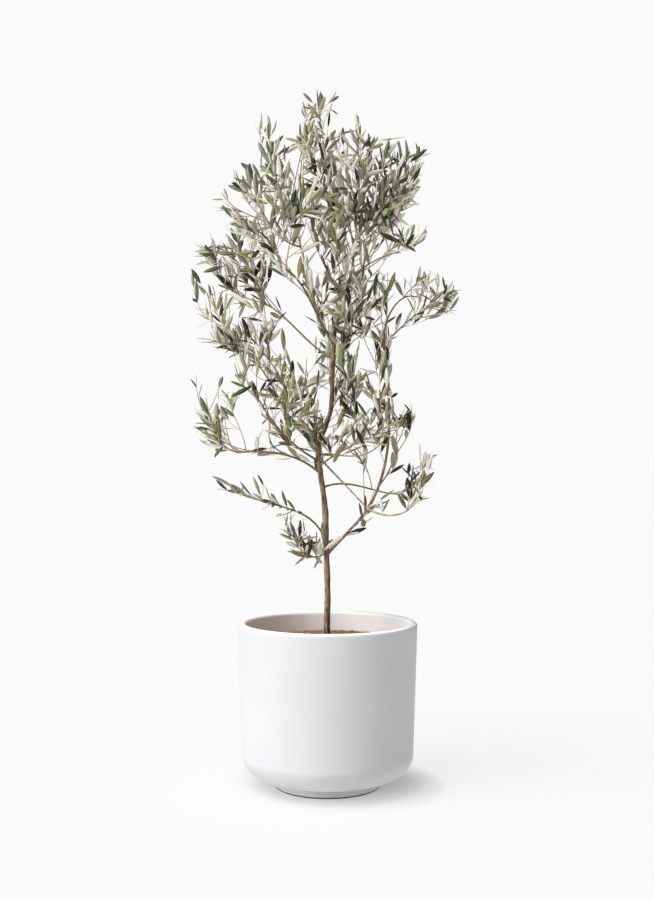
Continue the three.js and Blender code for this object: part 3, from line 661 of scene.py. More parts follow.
class Shape:
    """Gathers the points and faces of one piece, in millimetres."""

    def __init__(self):
        self.points = []
        self.faces = []
        self.slots = []

    def add(self, points, faces, slots=None):
        first = len(self.points)
        self.points.extend(points)
        self.faces.extend([tuple(first + index for index in face) for face in faces])
        self.slots.extend(slots or [0] * len(faces))

    def piece(self, name, materials, slot_name, replaced=()):
        """Builds the mesh, which rides on the tree's one body."""
        mesh = bpy.data.meshes.new(name)
        mesh.from_pydata([point * METRES for point in self.points], [], self.faces)
        for material in materials:
            mesh.materials.append(material)
        mesh.polygons.foreach_set("material_index", self.slots)
        mesh.polygons.foreach_set("use_smooth", [True] * len(self.faces))
        mesh.update()
        made = bpy.data.objects.new(name, mesh)
        bpy.context.scene.collection.objects.link(made)
        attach(made, "root")
        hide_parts(*replaced)


def add_rod(shape, line, radii, sides, relief=None):
    """A closed rod along a line. Its relief is a length that a point's surface moves outwards by."""
    points = []
    for point, radius, (direction, side) in zip(line, radii, frames_of(line)):
        over = direction.cross(side)
        for turn in range(sides):
            angle = math.tau * turn / sides
            outward = side * math.cos(angle) + over * math.sin(angle)
            reach = radius + (relief(point, angle) if relief else 0)
            points.append(point + outward * reach)
    faces = []
    for ring in range(len(line) - 1):
        for turn in range(sides):
            after = (turn + 1) % sides
            low = ring * sides
            high = low + sides
            faces.append((low + turn, low + after, high + after, high + turn))
    last = (len(line) - 1) * sides
    faces.append(tuple(reversed(range(sides))))
    faces.append(tuple(range(last, last + sides)))
    shape.add(points, faces)


def add_turned(shape, profile, sides, relief=None):
    """A closed body turned about the upright axis from (radius, height) points that start and end on it.
    Its relief is a length that a point is raised by."""
    rings = len(profile) - 2
    points = []
    for index, (radius, height) in enumerate(profile):
        for turn in range(sides if 0 < index <= rings else 1):
            angle = math.tau * turn / sides
            point = Vector((radius * math.cos(angle), radius * math.sin(angle), height))
            points.append(point + UP * relief(point) if relief else point)
    faces = []
    for turn in range(sides):
        after = (turn + 1) % sides
        faces.append((0, 1 + after, 1 + turn))
        for ring in range(rings - 1):
            low = 1 + ring * sides
            high = low + sides
            faces.append((low + turn, low + after, high + after, high + turn))
        top = 1 + (rings - 1) * sides
        faces.append((top + turn, top + after, len(points) - 1))
    shape.add(points, faces)


# The pot and its soil


def round_corner(x, z, radius, start, end, steps):
    """Profile points of a round corner about a centre, from one angle in degrees to another."""
    angles = [math.radians(mix(start, end, step / steps)) for step in range(steps + 1)]
    return [(x + radius * math.cos(angle), z + radius * math.sin(angle)) for angle in angles]


def inner_radius(z):
    share = (z - BOWL_FLOOR) / (POT_HEIGHT - BOWL_FLOOR)
    return mix(CORNER_TOP_RADIUS - WALL, RIM_RADIUS - WALL, share)


def straight(start, end, steps):
    """Points between two profile points, without its ends."""
    shares = [step / steps for step in range(1, steps)]
    return [(mix(start[0], end[0], share), mix(start[1], end[1], share)) for share in shares]


def pot_shape():
    """The pot, with the outer glaze in slot 0, a brighter inner glaze from the rim's middle in slot 1 as
    painted light on the inner wall and a painted highlight on the rim's top, and a dark band on the foot's
    underside and lower round in slot 2 as a painted contact shadow."""
    foot = round_corner(FOOT_RADIUS - FOOT_ROUND, FOOT_ROUND, FOOT_ROUND, -90, 0, FOOT_STEPS)
    neck = [(FOOT_RADIUS, FOOT_HEIGHT - FOOT_NECK_HEIGHT), (FOOT_RADIUS - FOOT_NECK, FOOT_HEIGHT)]
    corner_across = CORNER_TOP_RADIUS - CORNER_ROUND
    corner = round_corner(corner_across, FOOT_HEIGHT + CORNER_ROUND, CORNER_ROUND, -90, 0, CORNER_STEPS)
    rim_level = POT_HEIGHT - RIM_ROUND
    rim = round_corner(RIM_RADIUS - RIM_ROUND, rim_level, RIM_ROUND, 0, 90, RIM_STEPS)
    lip = round_corner(RIM_RADIUS - WALL + RIM_ROUND, rim_level, RIM_ROUND, 90, 180, RIM_STEPS)
    bowl_across = inner_radius(BOWL_FLOOR) - INNER_CORNER_ROUND
    bowl_level = BOWL_FLOOR + INNER_CORNER_ROUND
    bowl = round_corner(bowl_across, bowl_level, INNER_CORNER_ROUND, 0, -90, INNER_CORNER_STEPS)
    profile = [(0, 0), *foot, *neck, *corner, *straight(corner[-1], rim[0], WALL_STEPS), *rim, *lip]
    profile += [*straight(lip[-1], bowl[0], WALL_STEPS), *bowl, (0, BOWL_FLOOR)]
    shape = Shape()
    add_turned(shape, profile, POT_SIDES)
    # The foot's underside and lower round are painted dark as the pot's contact shadow on the floor
    foot_shadow_end = profile.index(foot[-1])
    # From the rim's middle inwards the brighter glaze paints light on the inner wall and a highlight on the
    # rim's top
    outside = profile.index(rim[RIM_STEPS // 2])
    inside = len(profile) - 1 - outside
    shape.slots = ([2] * foot_shadow_end + [0] * (outside - foot_shadow_end) + [1] * inside) * POT_SIDES
    return shape


def clods(point):
    """How far the bed's clods raise a point of its top. Points below the top stay as they are."""
    if point.z < BED_LEVEL:
        return 0
    return BED_HEAVE * sum(
        share * noise.noise(Vector((point.x, point.y, layer)) / size) for size, layer, share in CLODS
    )


def bed_shape():
    """A filled bed inside the pot with a rough top."""
    reach = inner_radius(SOIL_TOP) - BED_GAP
    deep = SOIL_TOP - BED_DEPTH
    rings = [(radius, BED_LEVEL) for radius in spaced(reach, reach / BED_RINGS, BED_RINGS)]
    shape = Shape()
    add_turned(shape, [(0, deep), (reach - BED_TAPER, deep), *rings, (0, BED_LEVEL)], POT_SIDES, clods)
    return shape


def lump_shape():
    """A round lump of radius 1, of which each granule is a squashed copy."""
    angles = spaced(0, math.pi, GRANULE_STEPS + 1)
    shape = Shape()
    add_turned(shape, [(math.sin(angle), -math.cos(angle)) for angle in angles], 2 * GRANULE_STEPS)
    return shape


def granule_shape():
    """Granules of baked clay, strewn evenly over the bed and sunk in by a share of their size."""
    roll = dice(GRANULE_SEED)
    lump = lump_shape()
    reach = inner_radius(SOIL_TOP) - GRANULE_SIZE
    shape = Shape()
    for index in range(GRANULE_COUNT):
        away = reach * math.sqrt((index + roll()) / GRANULE_COUNT)
        angle = index * GRANULE_TURN + roll()
        centre = Vector((away * math.cos(angle), away * math.sin(angle), BED_LEVEL))
        size = GRANULE_SIZE / 2 * varied(GRANULE_SPREAD, roll)
        squash = Vector([share * varied(spread, roll) for share, spread in GRANULE_SQUASH])
        centre.z = min(BED_LEVEL + clods(centre), SOIL_TOP - size * GRANULE_SUNK)
        points = []
        for point in lump.points:
            rough = 1 + GRANULE_ROUGHNESS * noise.noise(point * GRANULE_ROUGH_SCALE + Vector((index, 0, 0)))
            points.append(centre + point * squash * size * rough)
        shape.add(points, lump.faces)
    return shape


# The trunk and boughs


def bark_relief(depth, knots=()):
    """Long shallow ridges along a limb, fine cracks, soft lumps, and knots at some heights."""

    def relief(point, angle):
        around = Vector((math.cos(angle), math.sin(angle), 0))
        ridges, cracks, lumps = (
            noise.noise(around * kind.quickness + Vector((*kind.shift, point.z / kind.length)))
            for kind in (RIDGES, CRACKS, LUMPS)
        )
        gaps = max(CRACK_WIDTH - abs(cracks), 0)
        swell = 0
        for height, facing, size in knots:
            near = math.exp(-(((point.z - height) / KNOT_HEIGHT) ** 2))
            swell += size * near * max(math.cos(angle - facing), 0) ** 2
        return depth * (RIDGES.share * ridges - CRACKS.share * gaps + LUMPS.share * lumps) + swell

    return relief


def trunk_shape(line):
    radii = []
    for share, point in zip(spaced(0, 1, len(line)), line):
        girth = mix(TRUNK_GIRTH, FORK_GIRTH, share**TRUNK_FALL)
        flare = math.exp(-max(point.z - SOIL_TOP, 0) / (FLARE_HEIGHT / 2))
        radii.append((girth + (FLARE_GIRTH - TRUNK_GIRTH) * flare) / 2)
    shape = Shape()
    add_rod(shape, line, radii, TRUNK_SIDES, bark_relief(TRUNK_RELIEF, TRUNK_KNOTS))
    return shape


def bough_shape(lines):
    shape = Shape()
    for bough in BOUGHS:
        line = lines[bough.name]
        length = sum((end - start).length for start, end in zip(line, line[1:]))
        radii = []
        for share in spaced(0, 1, len(line)):
            collar = 1 + COLLAR_SWELL * math.exp(-share * length / COLLAR_LENGTH)
            radii.append(bough.girth / 2 * mix(1, BOUGH_TAPER, share) * collar)
        add_rod(shape, line, radii, BOUGH_SIDES, bark_relief(BOUGH_RELIEF * bough.girth))
    return shape


# The photo's view of the crown


def seen(point):
    """Where the photo's view shows a point, as a place across and a height at the trunk."""
    closer = VIEW_DISTANCE / (VIEW_DISTANCE + point.y)
    return point.x * closer, VIEW_HEIGHT + (point.z - VIEW_HEIGHT) * closer


def within(place, oval):
    """Whether a seen place is in an oval with a lean."""
    middle, level, half_width, half_height, lean = oval
    angle = math.radians(lean)
    sideways = place[0] - middle
    upwards = place[1] - level
    wide = sideways * math.cos(angle) + upwards * math.sin(angle)
    high = upwards * math.cos(angle) - sideways * math.sin(angle)
    return (wide / half_width) ** 2 + (high / half_height) ** 2 < 1


def in_any(place, ovals):
    return any(within(place, oval) for oval in ovals)


def in_crown(point):
    """Whether the photo's view shows foliage about there: inside the crown's reach, and not in open sky."""
    across, height = seen(point)
    steps = zip(CROWN_REACH, CROWN_REACH[1:])
    step = next((pair for pair in steps if pair[0][0] <= height < pair[1][0]), None)
    if not step or point.z > CROWN_TOP or not CROWN_FRONT < point.y < CROWN_BACK:
        return False
    (low, low_left, low_right), (high, high_left, high_right) = step
    share = (height - low) / (high - low)
    if not mix(low_left, high_left, share) < across < mix(low_right, high_right, share):
        return False
    if point.y < 0 and within((across, height), TRUNK_SHOWN):
        return False
    return not in_any((across, height), SKY)


def tone_for(draw, place):
    """The tone that a spray's leaves share, by a random draw and the place where the view shows it, with
    more pale tones where light is painted and more deep ones where shade is painted.
    """
    shares = TONE_SHARES
    if in_any(place, PAINTED_LIGHT_SPRAYS):
        shares = PAINTED_LIGHT_SHARES
    elif in_any(place, PAINTED_SHADE_SPRAYS):
        shares = PAINTED_SHADE_SHARES
    return next(tone for tone, share in zip(LEAF_TINTS, shares) if draw < share)


# Twigs and leaves


class Spaces:
    """Which mass's stem a point is nearest to."""

    def __init__(self, stems):
        self.starts = np.array([[tuple(point) for point in stem[:-1]] for stem in stems])
        ends = np.array([[tuple(point) for point in stem[1:]] for stem in stems])
        self.reaches = ends - self.starts
        self.squares = (self.reaches**2).sum(axis=2)

    def holds(self, owner, points):
        """Whether all of the points are nearer to the owner's stem than to any other."""
        spots = np.array([tuple(point) for point in points])[:, None, None, :]
        shares = ((spots - self.starts) * self.reaches).sum(axis=3) / self.squares
        nearest = self.starts + self.reaches * np.clip(shares, 0, 1)[..., None]
        apart = np.sqrt(((spots - nearest) ** 2).sum(axis=3)).min(axis=2)
        own = apart[:, owner].copy()
        apart[:, owner] = np.inf
        return bool((own + SPACE_MARGIN < apart.min(axis=1)).all())


def twig_lines(stem, spacing, first, reach, lift, roll):
    """The twigs of a stem, each a line that leaves it a turn on from the last and lifts to the light."""
    count = max(FEWEST_TWIGS, round((stem[-1] - stem[0]).length / spacing))
    lines = []
    for index in range(count):
        share = mix(first, LAST_TWIG, (index + TWIG_PLACE_SWAY * roll()) / count)
        point, direction = along(stem, share)
        side, over = square_to(direction)
        turn = index * TWIG_TURN + TWIG_TURN_SWAY * roll()
        outward = side * math.cos(turn) + over * math.sin(turn)
        spread = math.radians(TWIG_ANGLE + (roll() - 0.5) * TWIG_ANGLE_SWAY)
        heading = direction * math.cos(spread) + outward * math.sin(spread)
        length = reach * (1 - TWIG_SHORTENING * share) * varied(TWIG_REACH_SPREAD, roll)
        bend = point + heading * (length / 2)
        end = point + (heading + UP * lift).normalized() * length
        lines.append(quadratic(point, bend, end, SMOOTH_STEPS))
    return lines


def pass_over_stem_leaves(stem, roll):
    """Draws as often as the source does for the leaves of a stem, so that its twigs come out the same."""
    length = (stem[-1] - stem[0]).length
    pairs = max(1, round(length * (1 - SOLID_FIRST_STEM_LEAF) / SOLID_LEAF_SPACING))
    for _ in range(1 + 2 * (2 * pairs + 1)):
        roll()


def leaf_points(root, heading, face, length, droop):
    """A leaf's root, then its left edge, ridge, right edge and underside at each share, and its tip."""
    side = face.cross(heading).normalized()
    half = length / LEAF_SLIMNESS / 2

    def place(share, sideways, upward):
        sag = droop * length * share**2
        return root + heading * (share * length) + side * sideways + face * (upward - sag)

    points = [root]
    for share, width in LEAF_OUTLINE:
        wide = half * width
        lift = wide * LEAF_FOLD
        thick = LEAF_THICKNESS * (1 + width) / 2
        points += [
            place(share, wide, lift),
            place(share, 0, thick / 2),
            place(share, -wide, lift),
            place(share, 0, -thick / 2),
        ]
    points.append(place(1, 0, 0))
    return points


def leaf_faces():
    """The faces of a leaf, and for each the side it is on: 0 above, 1 below."""
    rings = len(LEAF_OUTLINE)
    corners = [(0, 1, 0), (1, 2, 0), (2, 3, 1), (3, 0, 1)]
    around = len(corners)
    faces = []
    sides = []
    for start, end, side in corners:
        faces.append((0, 1 + end, 1 + start))
        for ring in range(rings - 1):
            low = 1 + around * ring
            high = low + around
            faces.append((low + start, low + end, high + end, high + start))
        last = 1 + around * (rings - 1)
        faces.append((last + start, last + end, last + around))
        sides += [side] * (rings + 1)
    return faces, sides


LEAF_FACES, LEAF_SIDES = leaf_faces()


def leaf_at(point, direction, outward, angle, roll):
    """A leaf that leaves a twig at an angle, its upper side turned to the twig's tip and the light."""
    spread = math.radians(angle + (roll() - 0.5) * LEAF_ANGLE_SWAY)
    heading = direction * math.cos(spread) + outward * math.sin(spread)
    sway = Vector((roll() - 0.5, roll() - 0.5, roll() - 0.5)) * LEAF_TILT_SWAY
    face = direction + UP * LEAF_TO_LIGHT + sway
    face = (face - heading * face.dot(heading)).normalized()
    length = LEAF_LENGTH * varied(LEAF_LENGTH_SPREAD, roll)
    return leaf_points(point, heading, face, length, LEAF_DROOP * (roll() - LEAF_RISE))


def leaves_on(line, first, roll):
    """Pairs of leaves on opposite sides of a twig, each pair a quarter turn on, and one to end it."""
    length = (line[-1] - line[0]).length
    pairs = max(1, round(length * (LAST_LEAF - first) / LEAF_SPACING))
    turn = math.pi * roll()
    leaves = []
    for pair in range(pairs + 1):
        point, direction = along(line, mix(first, LAST_LEAF, pair / pairs))
        side, over = square_to(direction)
        angle = turn + pair * math.pi / 2
        outward = side * math.cos(angle) + over * math.sin(angle)
        if pair == pairs:
            leaves.append(leaf_at(point, direction, outward, END_LEAF_ANGLE, roll))
        else:
            leaves.append(leaf_at(point, direction, outward, LEAF_ANGLE, roll))
            leaves.append(leaf_at(point, direction, -outward, LEAF_ANGLE, roll))
    return leaves


class Foliage:
    """The twigs and the leaves of each tone, as they grow."""

    def __init__(self):
        self.twigs = Shape()
        self.leaves = {tone: Shape() for tone in LEAF_TINTS}
        self.ends = []
        self.wood = []
        self.shown = []

    def shown_leaves(self, line, first, roll):
        """The leaves of a line that the photo's view has room for."""
        kept = []
        for leaf in leaves_on(line, first, roll):
            middle = leaf[LEAF_MIDDLE]
            lasting = roll() > (SPARSE_SKIPPED if in_any(seen(middle), SPARSE) else SKIPPED_LEAF)
            if lasting and in_crown(leaf[-1]) and in_crown(middle):
                kept.append(leaf)
        return kept

    def put(self, leaves, roll):
        """Adds leaves, all of the tone that a draw gives the first one's place."""
        draw = roll()
        if not leaves:
            return
        toned = self.leaves[tone_for(draw, seen(leaves[0][0]))]
        for leaf in leaves:
            toned.add(leaf, LEAF_FACES, LEAF_SIDES)
            self.shown += [seen(leaf[LEAF_MIDDLE]), seen(leaf[-1])]

    def rod(self, line, girth, tip_girth):
        add_rod(self.twigs, line, spaced(girth / 2, tip_girth / 2, len(line)), TWIG_SIDES)
        self.wood += line[1:-1:WOOD_STEP]

    def leafy(self, line, girth, tip_girth, first, roll):
        """A leafy twig that ends at its last leaf, or nothing where it would have too few."""
        leaves = self.shown_leaves(line, first, roll)
        if len(leaves) < FEWEST_LEAVES or within(seen(line[-1]), LONE_SPRAY):
            return None
        last = min(range(len(line)), key=lambda index: (line[index] - leaves[-1][0]).length)
        line = line[: max(last, FEWEST_STEPS) + 1]
        self.rod(line, girth, tip_girth)
        self.put(leaves, roll)
        return line

    def twig(self, line, girth, tip_girth, first, roll):
        """A leafy twig, unless its end is open to the sky or close to another's."""
        end = line[-1]
        middle = line[len(line) // 2]
        crowded = any((end - other).length < CROWDED for other in self.ends)
        if crowded or not in_crown(end) or not in_crown(middle):
            return None
        grown = self.leafy(line, girth, tip_girth, first, roll)
        if grown:
            self.ends.append(end)
        return grown

    def sprigs(self, line, roll):
        """The finer twigs of a line."""
        for sprig in twig_lines(line, SPRIG_SPACING, FIRST_SPRIG, SPRIG_REACH, SPRIG_LIFT, roll):
            self.twig(sprig, SPRIG_GIRTH, SPRIG_TIP_GIRTH, FIRST_LEAF, roll)

    def stem(self, line, roll):
        self.rod(line, STEM_GIRTH, STEM_TIP_GIRTH)
        self.ends.append(line[-1])
        self.put(self.shown_leaves(line, FIRST_STEM_LEAF, roll), roll)

    def fill(self, roll):
        """Grows a twig to each thin place of the crown's view, from the nearest wood below it."""
        left = min(row[1] for row in CROWN_REACH)
        right = max(row[2] for row in CROWN_REACH)
        wood = np.array([(*seen(point), *point) for point in self.wood])
        for height in range(CROWN_REACH[0][0], CROWN_REACH[-1][0], FILL_STEP):
            for across in range(left, right, FILL_STEP):
                sideways = across + FILL_SWAY * (roll() - 0.5)
                upwards = height + FILL_SWAY * (roll() - 0.5)
                depth_sway = FILL_REACH * (roll() - 0.5)
                clearance = DENSE_CLEARANCE if in_any((sideways, upwards), DENSE) else FILL_CLEARANCE
                apart = np.array(self.shown) - (sideways, upwards)
                below = wood[wood[:, 1] < upwards - FILL_STEP]
                away = np.hypot(below[:, 0] - sideways, below[:, 1] - upwards)
                thin = (apart**2).sum(axis=1).min() > clearance**2
                if not thin or not len(away) or away.min() > FILL_REACH:
                    continue
                root = Vector(below[away.argmin(), 2:])
                depth = root.y + depth_sway * away.min() / FILL_REACH
                further = (VIEW_DISTANCE + depth) / VIEW_DISTANCE
                end = Vector((sideways * further, depth, VIEW_HEIGHT + (upwards - VIEW_HEIGHT) * further))
                length = (end - root).length
                bend = root.lerp(end, 0.5) + UP * (FILL_BEND * length * (roll() - FILL_SAG))
                line = quadratic(root, bend, end, SMOOTH_STEPS)
                if all(in_crown(point) for point in line[len(line) // 2 :]):
                    first = max(FIRST_LEAF, 1 - FILL_LEAFY / length)
                    self.leafy(line, SPRIG_GIRTH, SPRIG_TIP_GIRTH, first, roll)


def grow(lines):
    """Grows every mass, the shoots, and the twigs that limbs bear themselves."""
    foliage = Foliage()
    stems = [limb_line(along(lines[mass.on], mass.at)[0], mass, STEM_STEPS) for mass in MASSES]
    spaces = Spaces(stems)
    grown = []
    for owner, (mass, stem) in enumerate(zip(MASSES, stems)):
        roll = dice(owner + 1)
        finer = dice(SPRIG_SEED + owner)
        smooth = limb_line(stem[0], mass, SMOOTH_STEPS)
        foliage.stem(smooth, finer)
        grown.append((smooth, finer))
        pass_over_stem_leaves(stem, roll)
        for line in twig_lines(stem, TWIG_SPACING, FIRST_TWIG, TWIG_REACH, TWIG_LIFT, roll):
            if spaces.holds(owner, line[SMOOTH_STEPS // 2 :: SMOOTH_STEPS // 2]):
                grown.append((foliage.twig(line, TWIG_GIRTH, TWIG_TIP_GIRTH, FIRST_LEAF, finer), finer))
    for index, shoot in enumerate(SHOOTS):
        roll = dice(SHOOT_SEED + index)
        line = limb_line(along(lines[shoot.on], shoot.at)[0], shoot, SMOOTH_STEPS)
        foliage.stem(line, roll)
        grown.append((line, roll))
    for index, (limb, first) in enumerate(LEAFY_FROM.items()):
        roll = dice(LIMB_TWIG_SEED + index)
        for line in twig_lines(lines[limb], LIMB_TWIG_SPACING, first, LIMB_TWIG_REACH, SPRIG_LIFT, roll):
            foliage.twig(line, TWIG_GIRTH, SPRIG_TIP_GIRTH, FIRST_LEAF, roll)
    for index, (limb, first) in enumerate(LEAF_BEARING):
        roll = dice(LEAF_BEARING_SEED - index)
        foliage.put(foliage.shown_leaves(lines[limb], first, roll), roll)
    for line, roll in grown:
        if line:
            foliage.sprigs(line, roll)
    for line in lines.values():
        foliage.wood += line[len(line) // 3 :: WOOD_STEP]
    foliage.fill(dice(FILL_SEED))
    return foliage


# Materials


def colour(red, green, blue):
    """A colour of eight-bit display values, as the renderer's linear ones."""

    def linear(value):
        share = value / BRIGHTEST
        if share <= CURVE_START:
            return share / CURVE_SLOPE
        return ((share + CURVE_OFFSET) / (1 + CURVE_OFFSET)) ** CURVE_POWER

    return (linear(red), linear(green), linear(blue), 1)


def feed(tree, socket, given):
    """Sets a socket to a value, or joins another node's output to it."""
    if isinstance(given, bpy.types.NodeSocket):
        tree.links.new(given, socket)
    else:
        socket.default_value = given


def put_node(tree, kind, inputs, **settings):
    """A new node with its settings and what its inputs are given."""
    node = tree.nodes.new(f"ShaderNode{kind}")
    for name, value in settings.items():
        setattr(node, name, value)
    for name, given in inputs.items():
        feed(tree, node.inputs[name], given)
    return node


def reckoned(tree, operation, *values):
    """The outcome of a sum with values that may vary."""
    return put_node(tree, "Math", dict(enumerate(values)), operation=operation).outputs[0]


def ranged(tree, value, ends, start=0, end=1):
    """A value moved from between two ends to between a start and an end."""
    inputs = {"Value": value, "From Min": ends[0], "From Max": ends[1], "To Min": start, "To Max": end}
    return put_node(tree, "MapRange", inputs).outputs["Result"]


def blended(tree, share, start, end):
    """Two colours mixed by a share."""
    inputs = {"Factor": share, "A": start, "B": end}
    return put_node(tree, "Mix", inputs, data_type="RGBA").outputs["Result"]


def new_group(name, inputs, outputs):
    """An empty node group with named inputs and outputs, each (name, kind, default)."""
    group = bpy.data.node_groups.new(name, "ShaderNodeTree")
    for socket, kind, default in inputs:
        made = group.interface.new_socket(name=socket, in_out="INPUT", socket_type=kind)
        made.default_value = default
    for socket, kind in outputs:
        group.interface.new_socket(name=socket, in_out="OUTPUT", socket_type=kind)
    return group, group.nodes.new("NodeGroupInput").outputs, group.nodes.new("NodeGroupOutput").inputs


def mottle_group():
    """Two colours in soft patches of a given scale, with a fine speckle."""
    group, given, out = new_group(
        "mottle",
        [
            ("Colour A", "NodeSocketColor", (0.5, 0.5, 0.5, 1)),
            ("Colour B", "NodeSocketColor", (0.4, 0.4, 0.4, 1)),
            ("Scale", "NodeSocketFloat", 10),
            ("Speckle", "NodeSocketFloat", 0.2),
        ],
        [("Colour", "NodeSocketColor")],
    )
    place = put_node(group, "TexCoord", {}).outputs["Object"]
    patches = put_node(group, "TexNoise", {"Vector": place, "Scale": given["Scale"], "Detail": PATCH_DETAIL})
    specks = put_node(group, "TexNoise", {"Vector": place, "Scale": SPECK_FINENESS})
    centred = reckoned(group, "SUBTRACT", specks.outputs["Fac"], 0.5)
    speckled = reckoned(group, "MULTIPLY_ADD", centred, given["Speckle"], patches.outputs["Fac"])
    mask = ranged(group, speckled, PATCHED)
    feed(group, out["Colour"], blended(group, mask, given["Colour A"], given["Colour B"]))
    return group


def grain_group():
    """A bumped normal from fine noise of a given scale and depth, drawn out along the upright axis."""
    group, given, out = new_group(
        "grain",
        [
            ("Scale", "NodeSocketFloat", 100),
            ("Stretch", "NodeSocketFloat", 1),
            ("Depth", "NodeSocketFloat", 0.3),
        ],
        [("Normal", "NodeSocketVector"), ("Height", "NodeSocketFloat")],
    )
    place = put_node(group, "TexCoord", {}).outputs["Object"]
    parts = put_node(group, "SeparateXYZ", {"Vector": place}).outputs
    slower = reckoned(group, "DIVIDE", parts["Z"], given["Stretch"])
    drawn_out = put_node(group, "CombineXYZ", {"X": parts["X"], "Y": parts["Y"], "Z": slower})
    rough = {"Vector": drawn_out.outputs["Vector"], "Scale": given["Scale"], "Detail": GRAIN_DETAIL}
    height = put_node(group, "TexNoise", rough).outputs["Fac"]
    bump = put_node(group, "Bump", {"Distance": GRAIN_HEIGHT, "Strength": given["Depth"], "Height": height})
    feed(group, out["Normal"], bump.outputs["Normal"])
    feed(group, out["Height"], height)
    return group


MOTTLE = mottle_group()
GRAIN = grain_group()


def mottled(tree, light, dark, patches, speckle):
    """Two colours that mottle each other."""
    inputs = {"Colour A": light, "Colour B": dark, "Scale": patches, "Speckle": speckle}
    return put_node(tree, "Group", inputs, node_tree=MOTTLE).outputs["Colour"]


def grained(tree, fineness, stretch, depth):
    """The outputs of a grain: its normal and its height."""
    inputs = {"Scale": fineness, "Stretch": stretch, "Depth": depth}
    return put_node(tree, "Group", inputs, node_tree=GRAIN).outputs


def new_material(name, looks):
    """A material with its shader, whose inputs are given plain values."""
    material = bpy.data.materials.new(name)
    material.use_nodes = True
    shader = material.node_tree.nodes["Principled BSDF"]
    for socket, value in looks.items():
        shader.inputs[socket].default_value = value
    return material, material.node_tree, shader.inputs


def matte_material(name):
    """A matte surface of two mottled colours with a grain."""
    finish = FINISHES[name]
    material, tree, shader = new_material(name, {"Specular IOR Level": FINISH_SHINE})
    tint = mottled(tree, colour(*finish.light), colour(*finish.dark), finish.patches, finish.speckle)
    grain = grained(tree, finish.grain, 1, finish.depth)
    smoothest = finish.roughness - ROUGHNESS_SPREAD
    roughest = finish.roughness + ROUGHNESS_SPREAD
    feed(tree, shader["Base Color"], tint)
    feed(tree, shader["Normal"], grain["Normal"])
    feed(tree, shader["Roughness"], ranged(tree, grain["Height"], (0, 1), smoothest, roughest))
    return material


def bark_material(name):
    """Bark with painted light on the lamps' side, fading higher up, and painted shade on the other, with
    dark furrows.
    """
    painted_lit, painted_shade, furrow = (colour(*tint) for tint in BARKS[name][:3])
    looks = {"Roughness": BARK_ROUGHNESS, "Specular IOR Level": BARK_SHINE}
    material, tree, shader = new_material(name, looks)

    def between(share):
        return tuple(mix(one, other, share) for one, other in zip(painted_lit, painted_shade))

    light = mottled(tree, painted_lit, between(PAINTED_LIT_MOTTLE), PAINTED_LIT_PATCHES, BARK_SPECKLE)
    shade = mottled(tree, painted_shade, between(PAINTED_SHADE_MOTTLE), PAINTED_SHADE_PATCHES, BARK_SPECKLE)
    grain = grained(tree, BARK_GRAIN, BARKS[name].stretch, 1)
    place = put_node(tree, "TexCoord", {}).outputs
    # Painted light on the side that faces the lamps, less of it higher up, and painted shade on the rest
    facing = put_node(tree, "VectorMath", {0: place["Normal"], 1: PAINTED_LIGHT_SIDE}, operation="DOT_PRODUCT")
    painted_light = ranged(tree, facing.outputs["Value"], PAINTED_LIGHT_FACING)
    height = put_node(tree, "SeparateXYZ", {"Vector": place["Object"]}).outputs["Z"]
    weight = reckoned(tree, "MULTIPLY", painted_light, ranged(tree, height, PAINTED_LIGHT_FADE, 1, PAINTED_LIGHT_LEFT))
    sides = blended(tree, weight, shade, light)
    feed(tree, shader["Base Color"], blended(tree, ranged(tree, grain["Height"], FURROWED), furrow, sides))
    feed(tree, shader["Normal"], grain["Normal"])
    return material


def leaf_material(name, tint, roughness, sheen):
    """A leaf's skin of one plain tone with a soft sheen and a fine bump."""
    looks = {
        "Base Color": colour(*tint),
        "Roughness": roughness,
        "Specular IOR Level": LEAF_SHINE,
        "Sheen Weight": sheen,
    }
    material, tree, shader = new_material(name, looks)
    feed(tree, shader["Normal"], grained(tree, LEAF_GRAIN, 1, LEAF_BUMP)["Normal"])
    return material


def build():
    """Builds the pot, its soil, the wood and the foliage."""
    lines = limb_lines()
    pot_skins = [matte_material(name) for name in ("white_glaze", "inner_glaze_painted_light", "foot_painted_shadow")]
    pot_shape().piece("pot_body", pot_skins, "pot", ["pot"])
    bed_shape().piece("soil_bed", [matte_material("clay_bed")], "soil", ["soil"])
    granule_shape().piece("soil_granules", [matte_material("clay_granules")], "soil")
    trunk_shape(lines["trunk"]).piece("trunk_bark", [bark_material("bark")], "bark", ["trunk"])
    boughs = [bough.name for bough in BOUGHS]
    bough_shape(lines).piece("bough_bark", [bark_material("bough_bark")], "bark", boughs)
    foliage = grow(lines)
    masses = [mass.name for mass in MASSES]
    foliage.twigs.piece("twigs", [bark_material("young_bark")], "bark", masses)
    for tone, tints in LEAF_TINTS.items():
        skins = [
            leaf_material(f"leaf_{tone}_{side}", tint, roughness, sheen)
            for tint, (side, roughness, sheen) in zip(tints, LEAF_SKINS)
        ]
        foliage.leaves[tone].piece(f"leaves_{tone}", skins, "foliage")


# The studio


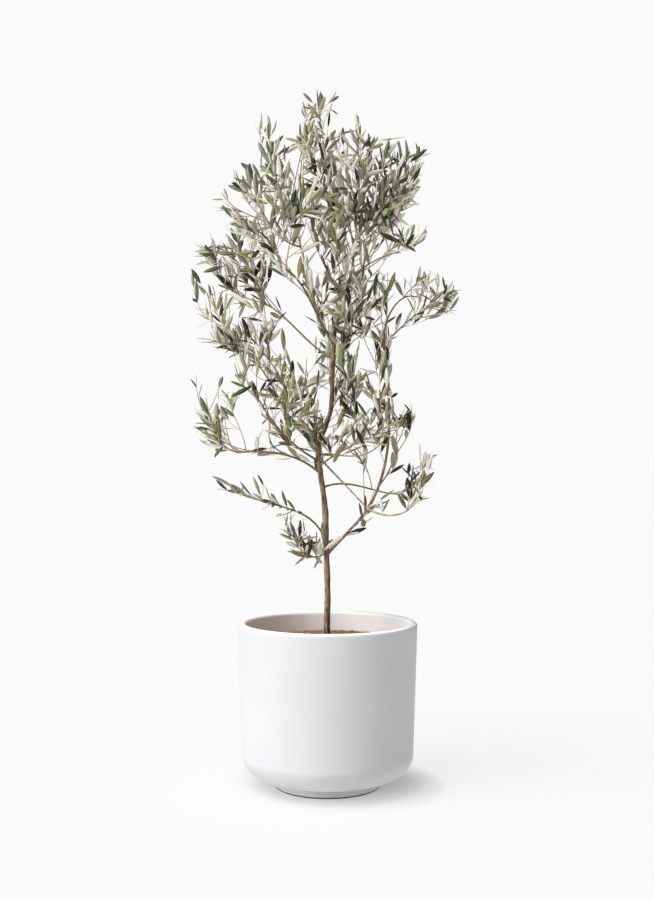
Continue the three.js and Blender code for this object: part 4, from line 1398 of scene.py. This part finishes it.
def floor():
    """The pale floor, which glows a little more for the tree than it shows to the camera."""
    angles = [math.tau * turn / 3 for turn in range(3)]
    corners = [(FLOOR_REACH * math.cos(angle), FLOOR_REACH * math.sin(angle), 0) for angle in angles]
    mesh = bpy.data.meshes.new("studio_floor")
    mesh.from_pydata(corners, [], [(0, 1, 2)])
    looks = {"Base Color": FLOOR_COLOUR, "Roughness": 1, "Specular IOR Level": 0}
    material, tree, shader = new_material("paper_floor", looks)
    to_camera = put_node(tree, "LightPath", {}).outputs["Is Camera Ray"]
    glow = put_node(tree, "Mix", {"Factor": to_camera, "A": FLOOR_BOUNCE, "B": FLOOR_GLOW})
    feed(tree, shader["Emission Strength"], glow.outputs["Result"])
    towards = put_node(tree, "CombineXYZ", SHADE_TOWARDS).outputs["Vector"]
    shading = {"Color": WHITE, "Distance": SHADE_REACH, "Normal": towards}
    shade = put_node(tree, "AmbientOcclusion", shading, samples=SHADE_SAMPLES)
    feed(tree, shader["Emission Color"], shade.outputs["Color"])
    mesh.materials.append(material)
    made = bpy.data.objects.new("studio_floor", mesh)
    bpy.context.scene.collection.objects.link(made)


def studio():
    """Soft light from the upper left, an even pale surround, and the camera at the photo's view."""
    scene = bpy.context.scene
    world = bpy.data.worlds.new("studio")
    scene.world = world
    world.use_nodes = True
    tree = world.node_tree
    pale = tree.nodes["Background"]
    feed(tree, pale.inputs["Color"], SURROUND)
    feed(tree, pale.inputs["Strength"], 1)
    lighting = put_node(tree, "Background", {"Color": WHITE, "Strength": SURROUND_LIGHT})
    to_camera = put_node(tree, "LightPath", {}).outputs["Is Camera Ray"]
    choice = {"Fac": to_camera, 1: lighting.outputs["Background"], 2: pale.outputs["Background"]}
    chosen = put_node(tree, "MixShader", choice).outputs["Shader"]
    feed(tree, tree.nodes["World Output"].inputs["Surface"], chosen)

    for lamp in LAMPS:
        light = bpy.data.lights.new(lamp.name, "SUN")
        light.energy = lamp.energy
        light.angle = math.radians(lamp.breadth)
        sun = bpy.data.objects.new(lamp.name, light)
        sun.rotation_euler = Vector(lamp.towards).to_track_quat("Z", "Y").to_euler()
        scene.collection.objects.link(sun)

    view = bpy.data.cameras.new("photo_view")
    view.sensor_width = SENSOR
    view.lens = LENS
    camera = bpy.data.objects.new("photo_view", view)
    camera.location = Vector((VIEW_ACROSS, -VIEW_DISTANCE, VIEW_HEIGHT)) * METRES
    camera.rotation_euler = (math.pi / 2, 0, 0)
    scene.collection.objects.link(camera)
    scene.camera = camera
    scene.view_settings.view_transform = "Standard"


build()
floor()
studio()
